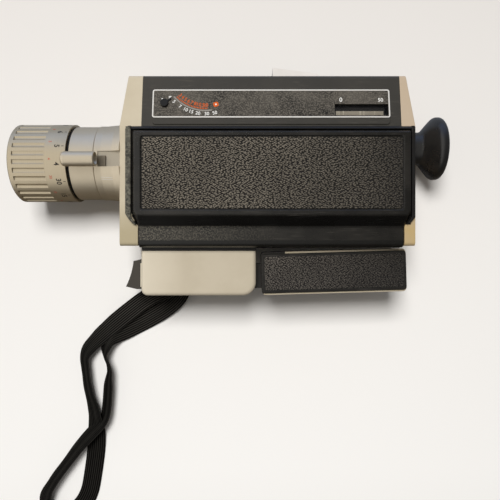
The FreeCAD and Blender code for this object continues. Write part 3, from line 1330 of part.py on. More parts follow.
def strap_path():
    """Straight runs and tangent arcs through the strap's route; prints each arc's radius."""
    points = [V(*p) for p in STRAP_ROUTE]
    edges = []
    radii = []
    start = points[0]
    for before, corner, after in zip(points, points[1:], points[2:]):
        into = (corner - before)
        out = (after - corner)
        turn = into.getAngle(out)
        run = min(into.Length, out.Length)
        radius = 0.45 * run / math.tan(turn / 2)
        cut = 0.45 * run
        into.normalize()
        out.normalize()
        first = corner - into * cut
        last = corner + out * cut
        bisector = (out - into)
        bisector.normalize()
        centre = corner + bisector * (radius / math.cos(turn / 2))
        middle = centre - bisector * radius
        edges.append(Part.LineSegment(start, first).toShape())
        edges.append(Part.Arc(first, middle, last).toShape())
        radii.append(radius)
        start = last
    edges.append(Part.LineSegment(start, points[-1]).toShape())
    print("strap arc radii, mm:", " ".join("%.1f" % r for r in radii))
    return Part.Wire(edges)


def wrist_strap():
    """Flat woven strap along its route, both ends at the lug."""
    path = strap_path()
    start, ahead = V(*STRAP_ROUTE[0]), V(*STRAP_ROUTE[1]) - V(*STRAP_ROUTE[0])
    ahead.normalize()
    side = ahead.cross(AXES["z"])
    side.normalize()
    up = side.cross(ahead)
    half = side * (STRAP_WIDTH / 2)
    rise = up * (STRAP_THICKNESS / 2)
    corners = [start - half - rise, start + half - rise, start + half + rise, start - half + rise]
    maker = Part.BRepOffsetAPI.MakePipeShell(path)
    maker.setBiNormalMode(AXES["z"])
    maker.add(Part.makePolygon(corners + [corners[0]]))
    maker.build()
    maker.makeSolid()
    strap = maker.shape()
    expected = path.Length * STRAP_WIDTH * STRAP_THICKNESS
    print("strap length %.1f mm, volume %.1f of %.1f" % (path.Length, strap.Volume, expected))
    return strap


def front_with_pins():
    """Front casting with the block for the door's front pin."""
    block = pin_blocks(FRONT_WRAP - WALL - 1.4)
    return joined(front_casting(), block).cut(rod("x", (0, BODY_LENGTH), HINGE_PIN, HINGE))


def rear_with_pins():
    """Rear casting with the block for the door's rear pin."""
    block = pin_blocks(WRAP_REAR)
    return joined(rear_casting(), block).cut(rod("x", (0, BODY_LENGTH), HINGE_PIN, HINGE))


def main():
    """Build and write every piece."""
    os.makedirs("parts", exist_ok=True)
    pieces = {
        "front_casting": front_with_pins(),
        "rear_casting": rear_with_pins(),
        "chassis": chassis(),
        "upper_cover": upper_cover(),
        "nameplate": nameplate(),
        "nameplate_border": nameplate_border(),
        "counter_window": counter_window(),
        "counter_drum": counter_drum(),
        "index_knob": index_knob(),
        "zoom_rocker": rocker(),
        "rocker_pin": rocker_pin(),
        "circuit_board": circuit_board(),
        "door_surround": door_surround(),
        "film_door": film_door(),
        "door_leather": leather(DOOR_FACE - 0.1, LEATHER_DEPTH - 0.1, DOOR_BORDER, LEATHER_GAP),
        "door_hinge_pins": door_hinge_pins(),
        "pressure_spring": pressure_spring(),
        "door_latch": door_latch(),
        "right_cover": right_cover(),
        "right_leather": flipped(leather(COVER_FACE - 0.2, LEATHER_DEPTH - 0.2, COVER_BORDER, LEATHER_GAP)),
        "screws": screws(),
        "base_plate": base_plate(),
        "lens_barrel": lens_barrel(),
        "lens_tube": lens_tube(),
        "zoom_ring": zoom_ring(),
        "zoom_lever": zoom_lever(),
        "seam_ring": seam_ring(),
        "focus_ring": focus_ring(),
        "front_lens": front_lens(),
        "lens_retainer": lens_retainer(),
        "zoom_cell": zoom_cell(),
        "zoom_lens": zoom_lens(),
        "exposure_meter": exposure_meter(),
        "iris_vane": iris_vane(),
        "prime_lens": prime_lens(),
        "finder_prisms": finder_prisms(),
        "finder_tube": finder_tube(),
        "finder_lenses": finder_lenses(),
        "eyepiece_tube": eyepiece_tube(),
        "eyecup": eyecup(),
        "shutter_shaft": shutter_shaft(),
        "shutter_disc": shutter_disc(),
        "claw": claw(),
        "film_gate": film_gate(),
        "motor": motor(),
        "motor_shaft": motor_shaft(),
        "takeup_spindle": takeup_spindle(),
        "batteries": batteries(),
        "grip_left_shell": grip_shell(1),
        "grip_right_shell": grip_shell(-1),
        "grip_pins": grip_pins(),
        "trigger": trigger(),
        "trigger_spring": trigger_spring(),
        "trigger_switch": trigger_switch(),
        "tripod_socket": tripod_socket(),
        "strap_lug": strap_lug(),
        "handle_core": handle_core(),
        "handle_left_cover": handle_cover(1),
        "handle_right_cover": handle_cover(-1),
        "wrist_strap": wrist_strap(),
    }
    for name, shape in pieces.items():
        save(name, shape)
    print(len(pieces), "pieces")


main()
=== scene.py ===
"""Cartridge movie camera, lying on its right side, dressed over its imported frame."""

import json
import logging
import math
from dataclasses import dataclass, field
from enum import Enum
from typing import Any, Callable, ClassVar, Sequence

import bpy
from mathutils import Matrix, Vector

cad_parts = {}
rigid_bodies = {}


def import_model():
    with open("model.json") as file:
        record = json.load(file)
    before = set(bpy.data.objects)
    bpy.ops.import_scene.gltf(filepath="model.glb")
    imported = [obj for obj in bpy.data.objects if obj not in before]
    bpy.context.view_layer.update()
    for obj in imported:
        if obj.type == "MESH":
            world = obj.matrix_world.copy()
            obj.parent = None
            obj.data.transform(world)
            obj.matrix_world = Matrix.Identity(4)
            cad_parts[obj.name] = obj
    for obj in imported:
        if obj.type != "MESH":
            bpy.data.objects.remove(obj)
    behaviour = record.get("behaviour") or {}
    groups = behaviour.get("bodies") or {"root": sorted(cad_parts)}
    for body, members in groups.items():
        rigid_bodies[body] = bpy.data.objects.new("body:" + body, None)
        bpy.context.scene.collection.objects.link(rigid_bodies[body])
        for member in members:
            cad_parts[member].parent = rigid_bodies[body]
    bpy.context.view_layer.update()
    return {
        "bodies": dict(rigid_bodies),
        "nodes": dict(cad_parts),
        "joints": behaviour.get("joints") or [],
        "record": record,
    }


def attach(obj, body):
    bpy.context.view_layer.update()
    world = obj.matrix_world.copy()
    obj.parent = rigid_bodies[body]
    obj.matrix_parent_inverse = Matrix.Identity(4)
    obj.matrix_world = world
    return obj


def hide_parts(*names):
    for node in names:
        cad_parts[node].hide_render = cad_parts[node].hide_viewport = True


log = logging.getLogger("camera")

Pair = tuple[float, float]
Triple = tuple[float, float, float]
Node = bpy.types.Node
Piece = bpy.types.Object
Socket = bpy.types.NodeSocket

# The camera's own frame, as in the part's source: millimetres from the body's front face, the lens
# axis and the middle plane. The shift puts the origin under the middle of the camera on the table.
SHIFT = Vector((-69.15, 13.65, 30.0))
SHOULDER = 19.3
HALF_WIDTH = 24.0
SLANT = math.atan(5.0 / 32.8)
SLANT_TURN = Matrix.Rotation(-SLANT, 4, "X")


def spot(x: float, y: float, z: float) -> Vector:
    """A place given in the camera's own frame, in metres in the frame that is packed."""
    return (Vector((x, y, z)) + SHIFT) / 1000


def on_slant(x: float, up: float, out: float) -> Vector:
    """A place on the slanted upper side.

    Args:
        x: Millimetres behind the body's front face.
        up: Millimetres up the slant from the shoulder.
        out: Millimetres out of the slant.

    Returns:
        The place in metres.
    """
    y = SHOULDER + up * math.cos(SLANT) + out * math.sin(SLANT)
    z = HALF_WIDTH - up * math.sin(SLANT) + out * math.cos(SLANT)
    return spot(x, y, z)


def turned_by(degrees: float, axis: str) -> Matrix:
    """A turn about an axis of the frame."""
    return Matrix.Rotation(math.radians(degrees), 4, axis)


class Body(Enum):
    """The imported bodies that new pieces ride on."""

    CAMERA = "camera"
    FOCUS = "focus"
    EYE = "eye"
    COUNTER = "counter"
    HANDLE = "handle"


class Slot(Enum):
    """The record's material slots."""

    CHAMPAGNE_METAL = "champagne_metal"
    BLACK_SHELL = "black_shell"
    BLACK_PLASTIC = "black_plastic"
    LENS_METAL = "lens_metal"
    LEATHERETTE = "leatherette"
    NAME_PANEL = "name_panel"
    BRIGHT_TRIM = "bright_trim"
    WINDOW_GLASS = "window_glass"
    LENS_GLASS = "lens_glass"
    SCALE_PLASTIC = "scale_plastic"
    GREY_PLASTIC = "grey_plastic"
    OLIVE_PLASTIC = "olive_plastic"
    BOARD = "board"
    STEEL = "steel"
    BRASS = "brass"
    EYECUP_RUBBER = "eyecup_rubber"
    WEBBING = "webbing"
    CELL_JACKET = "cell_jacket"


# Shader nodes


class Graph:
    """The nodes of one material, world or group, added and wired in short calls."""

    def __init__(self, tree: bpy.types.NodeTree) -> None:
        """Keeps the tree that nodes are added to."""
        self.tree = tree

    @classmethod
    def of(cls, owner: bpy.types.Material | bpy.types.World) -> "Graph":
        """Starts the nodes of a material or a world anew.

        Args:
            owner: The material or the world.

        Returns:
            Its empty graph.
        """
        owner.use_nodes = True
        owner.node_tree.nodes.clear()
        return cls(owner.node_tree)

    def add(self, kind: str, inputs: dict[Any, Any] | None = None, **props: Any) -> Node:
        """Adds a node.

        Args:
            kind: The node's type.
            inputs: Values, or sockets to link, by input name or number.
            props: Settings of the node itself.

        Returns:
            The new node.
        """
        node = self.tree.nodes.new(kind)
        for name, value in props.items():
            setattr(node, name, value)
        for name, value in (inputs or {}).items():
            self.feed(node.inputs[name], value)
        return node

    def feed(self, socket: Socket, value: Any) -> None:
        """Links an input to a socket, or sets its own value.

        Args:
            socket: The input.
            value: A socket or a value; a colour of three parts is taken as opaque.
        """
        if isinstance(value, Socket):
            self.tree.links.new(value, socket)
        elif socket.type == "RGBA" and len(value) == 3:
            socket.default_value = (*value, 1)
        else:
            socket.default_value = value

    def math(self, operation: str, a: Any, b: Any = 0.0) -> Socket:
        """Adds a Math node and returns its result."""
        return self.add("ShaderNodeMath", {0: a, 1: b}, operation=operation).outputs[0]

    def times(self, a: Any, b: Any) -> Socket:
        """Multiplies two values."""
        return self.math("MULTIPLY", a, b)

    def weigh(self, *parts: tuple[Any, float]) -> Socket:
        """Adds up values.

        Args:
            parts: Each value and its weight.

        Returns:
            The weighted sum.
        """
        total = self.times(*parts[0])
        for part in parts[1:]:
            total = self.math("ADD", total, self.times(*part))
        return total

    def mix(self, share: Any, a: Any, b: Any) -> Socket:
        """Mixes two colours and returns the result."""
        return self.add("ShaderNodeMix", {0: share, 6: a, 7: b}, data_type="RGBA").outputs[2]

    def spread(self, value: Any, low: float, high: float, start: float = 0.0, end: float = 1.0) -> Socket:
        """Maps a value from one range to another and returns the result."""
        return self.add("ShaderNodeMapRange", {0: value, 1: low, 2: high, 3: start, 4: end}).outputs[0]

    def noise(self, vector: Any, scale: Any, detail: float = 2.0, rough: float = 0.5) -> Socket:
        """Adds a noise and returns its value."""
        inputs = {"Vector": vector, "Scale": scale, "Detail": detail, "Roughness": rough}
        return self.add("ShaderNodeTexNoise", inputs).outputs[0]

    def split(self, vector: Any) -> Sequence[Socket]:
        """Splits a vector into its three parts."""
        return self.add("ShaderNodeSeparateXYZ", {0: vector}).outputs

    def warp(self, vector: Any, degrees: float, scale: Triple) -> Socket:
        """Turns a field about z, stretches it and returns the result."""
        inputs = {"Vector": vector, "Rotation": (0, 0, math.radians(degrees)), "Scale": scale}
        return self.add("ShaderNodeMapping", inputs).outputs[0]

    def bump(self, height: Any, depth: float, soften: float = 0.0) -> Socket:
        """Raises a surface by a height.

        Args:
            height: The height, from nought to one.
            depth: Metres for a height of one.
            soften: Radius in metres that sharp edges are softened by.

        Returns:
            The surface's normal.
        """
        inputs: dict[str, Any] = {"Height": height, "Distance": depth, "Strength": 1.0}
        if soften > 0:
            inputs["Normal"] = self.add("ShaderNodeBevel", {"Radius": soften}, samples=4).outputs[0]
        return self.add("ShaderNodeBump", inputs).outputs[0]


@dataclass(frozen=True)
class Effect:
    """A node group that several finishes share, made at its first use."""

    name: str
    fill: Callable[[Graph, Any], dict[str, Socket]]
    inputs: dict[str, float]
    outputs: tuple[str, ...] = ("Height",)

    made: ClassVar[dict[str, bpy.types.NodeTree]] = {}

    def tree(self) -> bpy.types.NodeTree:
        """Makes the group, or gives the one that exists.

        Returns:
            The group, with its float inputs at their usual values; Vector is always there.
        """
        if self.name not in self.made:
            tree = bpy.data.node_groups.new(self.name, "ShaderNodeTree")
            tree.interface.new_socket(name="Vector", in_out="INPUT", socket_type="NodeSocketVector")
            for label, value in self.inputs.items():
                socket = tree.interface.new_socket(name=label, in_out="INPUT", socket_type="NodeSocketFloat")
                socket.default_value = value
            for label in self.outputs:
                tree.interface.new_socket(name=label, in_out="OUTPUT", socket_type="NodeSocketFloat")
            graph = Graph(tree)
            graph.add("NodeGroupOutput", self.fill(graph, graph.add("NodeGroupInput").outputs))
            self.made[self.name] = tree
        return self.made[self.name]

    def place(self, graph: Graph, vector: Any, **given: float) -> Any:
        """Places the group in a material and returns its outputs."""
        return graph.add("ShaderNodeGroup", {"Vector": vector, **given}, node_tree=self.tree()).outputs


def grain(graph: Graph, given: Any) -> dict[str, Socket]:
    """Lays two sizes of noise over each other, for paint or moulded plastic.

    Args:
        graph: The group's graph.
        given: Its inputs.

    Returns:
        Its outputs.
    """
    fine = graph.noise(given["Vector"], given["Scale"], 3.0, 0.6)
    coarse = graph.noise(given["Vector"], graph.times(given["Scale"], 0.31))
    return {"Height": graph.weigh((fine, 0.7), (coarse, 0.3))}


def pebble(graph: Graph, given: Any) -> dict[str, Socket]:
    """Turns and bends a field of cells, domes each one and adds wide waves and pores, for leatherette.

    Args:
        graph: The group's graph.
        given: Its inputs.

    Returns:
        Its outputs.
    """
    bend = 0.0009
    turned = graph.warp(given["Vector"], -42, (0.72, 1.28, 1.0))
    drift = graph.add(
        "ShaderNodeTexNoise", {"Vector": turned, "Scale": graph.times(given["Scale"], 0.45), "Detail": 2.0}
    ).outputs[1]
    bent = graph.add(
        "ShaderNodeVectorMath", {0: drift, 1: (bend, bend, bend), 2: turned}, operation="MULTIPLY_ADD"
    ).outputs[0]
    cells = graph.add(
        "ShaderNodeTexVoronoi", {"Vector": bent, "Scale": given["Scale"], "Randomness": 0.8},
        feature="F1", voronoi_dimensions="2D",
    ).outputs[0]
    dome = graph.spread(cells, 0.10, 0.60, 1.0, 0.0)
    wide = graph.noise(given["Vector"], graph.times(given["Scale"], 0.3))
    pores = graph.noise(given["Vector"], graph.times(given["Scale"], 4.0))
    height = graph.weigh((dome, 0.8), (wide, 0.16), (pores, 0.12))
    return {"Height": height, "Crease": graph.spread(height, 0.30, 0.84, 1.0, 0.0)}


def handling(graph: Graph, given: Any) -> dict[str, Socket]:
    """Makes uneven patches and rubs from use, and fine dust.

    Args:
        graph: The group's graph.
        given: Its inputs.

    Returns:
        Its outputs.
    """
    wide = graph.noise(given["Vector"], given["Scale"], 4.0, 0.6)
    specks = graph.noise(given["Vector"], graph.times(given["Scale"], 28.0), 1.0)
    return {"Patches": graph.spread(wide, 0.38, 0.66), "Specks": graph.spread(specks, 0.70, 0.78)}


def scratches(graph: Graph, given: Any) -> dict[str, Socket]:
    """Makes thin rubs that run roughly along the body, kept in patches.

    Args:
        graph: The group's graph.
        given: Its inputs.

    Returns:
        Its outputs.
    """
    thin = graph.noise(graph.warp(given["Vector"], 7, (0.05, 1.0, 1.0)), given["Scale"], 2.0, 0.4)
    gate = graph.noise(given["Vector"], graph.times(given["Scale"], 0.05))
    return {"Lines": graph.times(graph.spread(thin, 0.60, 0.68), graph.spread(gate, 0.46, 0.58))}


def turning(graph: Graph, given: Any) -> dict[str, Socket]:
    """Makes the fine lines that a lathe leaves round the lens axis."""
    inputs = {"W": graph.split(given["Vector"])[0], "Scale": given["Scale"], "Detail": 4.0, "Roughness": 0.7}
    return {"Lines": graph.add("ShaderNodeTexNoise", inputs, noise_dimensions="1D").outputs[0]}


def weave(graph: Graph, given: Any) -> dict[str, Socket]:
    """Crosses ribs along the strap with threads that are offset on every other rib.

    Args:
        graph: The group's graph.
        given: Its inputs; Vector is the strap's own map.

    Returns:
        Its outputs.
    """
    along, across, _ = graph.split(given["Vector"])
    ribs = graph.times(across, graph.times(given["Ribs"], math.tau))
    offset = graph.times(graph.math("SIGN", graph.math("SINE", ribs)), 0.8)
    threads = graph.math("ADD", graph.times(along, graph.times(given["Threads"], math.tau)), offset)
    rib = graph.spread(graph.math("COSINE", ribs), -1.0, 1.0)
    thread = graph.spread(graph.math("SINE", threads), -1.0, 1.0)
    return {"Height": graph.weigh((rib, 0.65), (thread, 0.35))}


GRAIN = Effect("fine grain", grain, {"Scale": 2500.0})
PEBBLE = Effect("pebbled hide", pebble, {"Scale": 600.0}, ("Height", "Crease"))
HANDLING = Effect("handling", handling, {"Scale": 40.0}, ("Patches", "Specks"))
SCRATCHES = Effect("scratches", scratches, {"Scale": 1700.0}, ("Lines",))
TURNING = Effect("turning lines", turning, {"Scale": 5000.0}, ("Lines",))
WEAVE = Effect("webbing", weave, {"Ribs": 9.0, "Threads": 1300.0})


# Finishes


@dataclass(frozen=True)
class Region:
    """A block in the camera's own frame, in millimetres, that a finish paints in another colour."""

    low: Triple
    high: Triple
    paint: Triple = (0.007, 0.0065, 0.006)
    fade: float = 0.0

    def mask(self, graph: Graph, place: Any) -> Any:
        """Marks the block, which may fade out toward its rear end.

        Args:
            graph: The material's graph.
            place: Its Object coordinates.

        Returns:
            One inside the block and nought outside it.
        """
        parts = graph.split(place)
        inside: Any = 1.0
        for part, low, high in zip(parts, spot(*self.low), spot(*self.high)):
            inside = graph.times(inside, graph.math("GREATER_THAN", part, low))
            inside = graph.times(inside, graph.math("LESS_THAN", part, high))
        if self.fade > 0:
            end = spot(*self.high).x
            inside = graph.times(inside, graph.spread(parts[0], end - self.fade / 1000, end, 1.0, 0.0))
        return inside

    def lay(self, graph: Graph, place: Any, color: Any) -> Socket:
        """Lays the block's paint over a colour and returns the result."""
        return graph.mix(self.mask(graph, place), color, self.paint)


@dataclass(frozen=True)
class Finish:
    """What every finish shares: a material with one Principled shader."""

    name: str

    def build(self) -> bpy.types.Material:
        """Makes the material.

        Returns:
            The material.
        """
        material = bpy.data.materials.new(self.name)
        graph = Graph.of(material)
        place = graph.add("ShaderNodeTexCoord").outputs
        shader = graph.add("ShaderNodeBsdfPrincipled", self.look(graph, place))
        graph.add("ShaderNodeOutputMaterial", {"Surface": shader.outputs[0]})
        return material

    def look(self, graph: Graph, place: Any) -> dict[str, Any]:
        """What the shader is fed, by input; each kind of finish says it."""
        raise NotImplementedError


@dataclass(frozen=True)
class Shell(Finish):
    """Paint, cast metal or moulded plastic with a fine grain, specks and marks of use."""

    color: Triple
    worn: Triple
    rough: float = 0.4
    metal: float = 0.0
    grain: float = 2500.0
    depth: float = 0.00002
    soften: float = 0.0004
    level: float = 0.5
    speckle: float = 0.0
    dots: float = 900.0
    speckled: Region | None = None
    scratch: float = 0.0
    regions: tuple[Region, ...] = ()
    foot: Triple | None = None

    patched: ClassVar[float] = 0.55
    dusty: ClassVar[float] = 0.35
    # heights between which the foot's colour comes in, in the camera's own frame
    foot_from: ClassVar[float] = -26.0
    foot_to: ClassVar[float] = -44.0

    def look(self, graph: Graph, place: Any) -> dict[str, Any]:
        """Lays wear, dust, speckle, scratches and painted blocks over the colour; some of the blocks are
        painted shade and one is a painted highlight.

        Args:
            graph: The material's graph.
            place: Its coordinates.

        Returns:
            What the shader is fed, by input.
        """
        place = place["Object"]
        patches, specks = HANDLING.place(graph, place, Scale=45.0)
        base: Any = self.color
        if self.foot is not None:
            heights = (spot(0, height, 0).y for height in (self.foot_from, self.foot_to))
            base = graph.mix(graph.spread(graph.split(place)[1], *heights), base, self.foot)
        color = graph.mix(graph.times(patches, self.patched), base, self.worn)
        color = graph.mix(graph.times(specks, self.dusty), color, self.worn)
        if self.speckle > 0:
            dots = graph.spread(graph.noise(place, self.dots, 1.0), 0.44, 0.64)
            if self.speckled is not None:
                dots = graph.times(dots, self.speckled.mask(graph, place))
            paint = self.worn if self.speckled is None else self.speckled.paint
            color = graph.mix(graph.times(dots, self.speckle), color, paint)
        rough = graph.spread(patches, 0.0, 1.0, self.rough * 0.9, self.rough * 1.15)
        if self.scratch > 0:
            lines = SCRATCHES.place(graph, place)["Lines"]
            pale = tuple(min(1.0, 3.0 * part) for part in self.worn)
            color = graph.mix(graph.times(lines, self.scratch), color, pale)
            rough = graph.math("ADD", rough, graph.times(lines, 0.2))
        for region in self.regions:
            color = region.lay(graph, place, color)
        height = GRAIN.place(graph, place, Scale=self.grain)["Height"]
        return {
            "Base Color": color, "Roughness": rough, "Metallic": self.metal, "Specular IOR Level": self.level,
            "Normal": graph.bump(height, self.depth, self.soften),
        }


@dataclass(frozen=True)
class Hide(Finish):
    """Black leatherette with a pebbled grain, whose crests are painted pale, partly as wear and partly as
    painted highlight, and darkened from the front to the rear as painted shade.
    """

    color: Triple
    crest: Triple
    scale: float
    depth: float
    rear_painted_shade: float

    rough: ClassVar[float] = 0.42
    # where the painted shade on the crests starts and where it is darkest, behind the body's front face
    dark_from: ClassVar[float] = 90.0
    dark_to: ClassVar[float] = 178.0

    def look(self, graph: Graph, place: Any) -> dict[str, Any]:
        """Raises the grain, paints its crests pale, partly as wear and partly as painted highlight, and lays
        painted shade over them towards the rear.

        Args:
            graph: The material's graph.
            place: Its coordinates.

        Returns:
            What the shader is fed, by input.
        """
        place = place["Object"]
        height, crease = PEBBLE.place(graph, place, Scale=self.scale)
        patches = HANDLING.place(graph, place, Scale=18.0)["Patches"]
        color = graph.mix(crease, self.crest, self.color)
        color = graph.mix(graph.times(patches, 0.35), color, self.color)
        # painted shade: the crests darken from the front to the rear
        ends = (spot(x, 0, 0).x for x in (self.dark_from, self.dark_to))
        color = graph.mix(graph.spread(graph.split(place)[0], *ends, 0.0, self.rear_painted_shade), color, self.color)
        return {
            "Base Color": color, "Roughness": graph.spread(crease, 0.0, 1.0, self.rough, self.rough + 0.25),
            "Specular IOR Level": 0.35, "Normal": graph.bump(height, self.depth),
        }


@dataclass(frozen=True)
class Turned(Finish):
    """Metal turned on a lathe round the lens axis."""

    color: Triple
    shade: Triple
    rough: float = 0.34
    lines: float = 5000.0
    metal: float = 0.85
    regions: tuple[Region, ...] = ()

    def look(self, graph: Graph, place: Any) -> dict[str, Any]:
        """Lays the lathe's lines and the painted blocks over the metal.

        Args:
            graph: The material's graph.
            place: Its coordinates.

        Returns:
            What the shader is fed, by input.
        """
        place = place["Object"]
        lines = TURNING.place(graph, place, Scale=self.lines)["Lines"]
        patches = HANDLING.place(graph, place, Scale=60.0)["Patches"]
        tone = graph.times(lines, graph.spread(patches, 0.0, 1.0, 0.7, 1.0))
        color: Any = graph.mix(tone, self.color, self.shade)
        for region in self.regions:
            color = region.lay(graph, place, color)
        return {
            "Base Color": color, "Metallic": self.metal,
            "Roughness": graph.spread(lines, 0.3, 0.7, self.rough, self.rough + 0.12),
            "Normal": graph.bump(lines, 0.000012, 0.0003),
        }


@dataclass(frozen=True)
class Webbing(Finish):
    """Woven strap, read from the strap's own map, with threads that are worn pale near the lug."""

    color: Triple
    crest: Triple

    # heights between which the wear comes in, in the camera's own frame
    worn_from: ClassVar[float] = -132.0
    worn_to: ClassVar[float] = -96.0

    def look(self, graph: Graph, place: Any) -> dict[str, Any]:
        """Lightens the crests of the weave.

        Args:
            graph: The material's graph.
            place: Its coordinates.

        Returns:
            What the shader is fed, by input.
        """
        height = WEAVE.place(graph, place["UV"])["Height"]
        ends = (spot(0, height, 0).y for height in (self.worn_from, self.worn_to))
        worn = graph.spread(graph.split(place["Object"])[1], *ends, 0.4, 1.0)
        thread = graph.times(graph.math("POWER", height, 3.0), worn)
        return {
            "Base Color": graph.mix(thread, self.color, self.crest), "Roughness": 0.75,
            "Specular IOR Level": 0.05, "Normal": graph.bump(height, 0.00025),
        }


@dataclass(frozen=True)
class Clear(Finish):
    """Glass, or thin plastic that lets the light straight through."""

    color: Triple
    rough: Pair
    patch: float
    cover: float = 1.0
    refracts: float = 1.0

    def look(self, graph: Graph, place: Any) -> dict[str, Any]:
        """Tints it and makes its patches duller.

        Args:
            graph: The material's graph.
            place: Its coordinates.

        Returns:
            What the shader is fed, by input.
        """
        patches = HANDLING.place(graph, place["Object"], Scale=self.patch)["Patches"]
        return {
            "Base Color": self.color, "Alpha": self.cover, "Transmission Weight": self.refracts,
            "Roughness": graph.spread(patches, 0.0, 1.0, *self.rough),
        }


def casting(name: str, color: Triple, worn: Triple, soften: float = 0.0006, **more: Any) -> Shell:
    """Painted cast metal."""
    return Shell(name, color, worn, 0.45, 0.15, 3200.0, 0.000012, soften, **more)


def ink(name: str, color: Triple, worn: Triple, grain: float = 3000.0, level: float = 0.5) -> Shell:
    """Print, or a scale, that lies flat on its piece."""
    return Shell(name, color, worn, 0.5, 0.0, grain, 0.00001, 0.0, level)


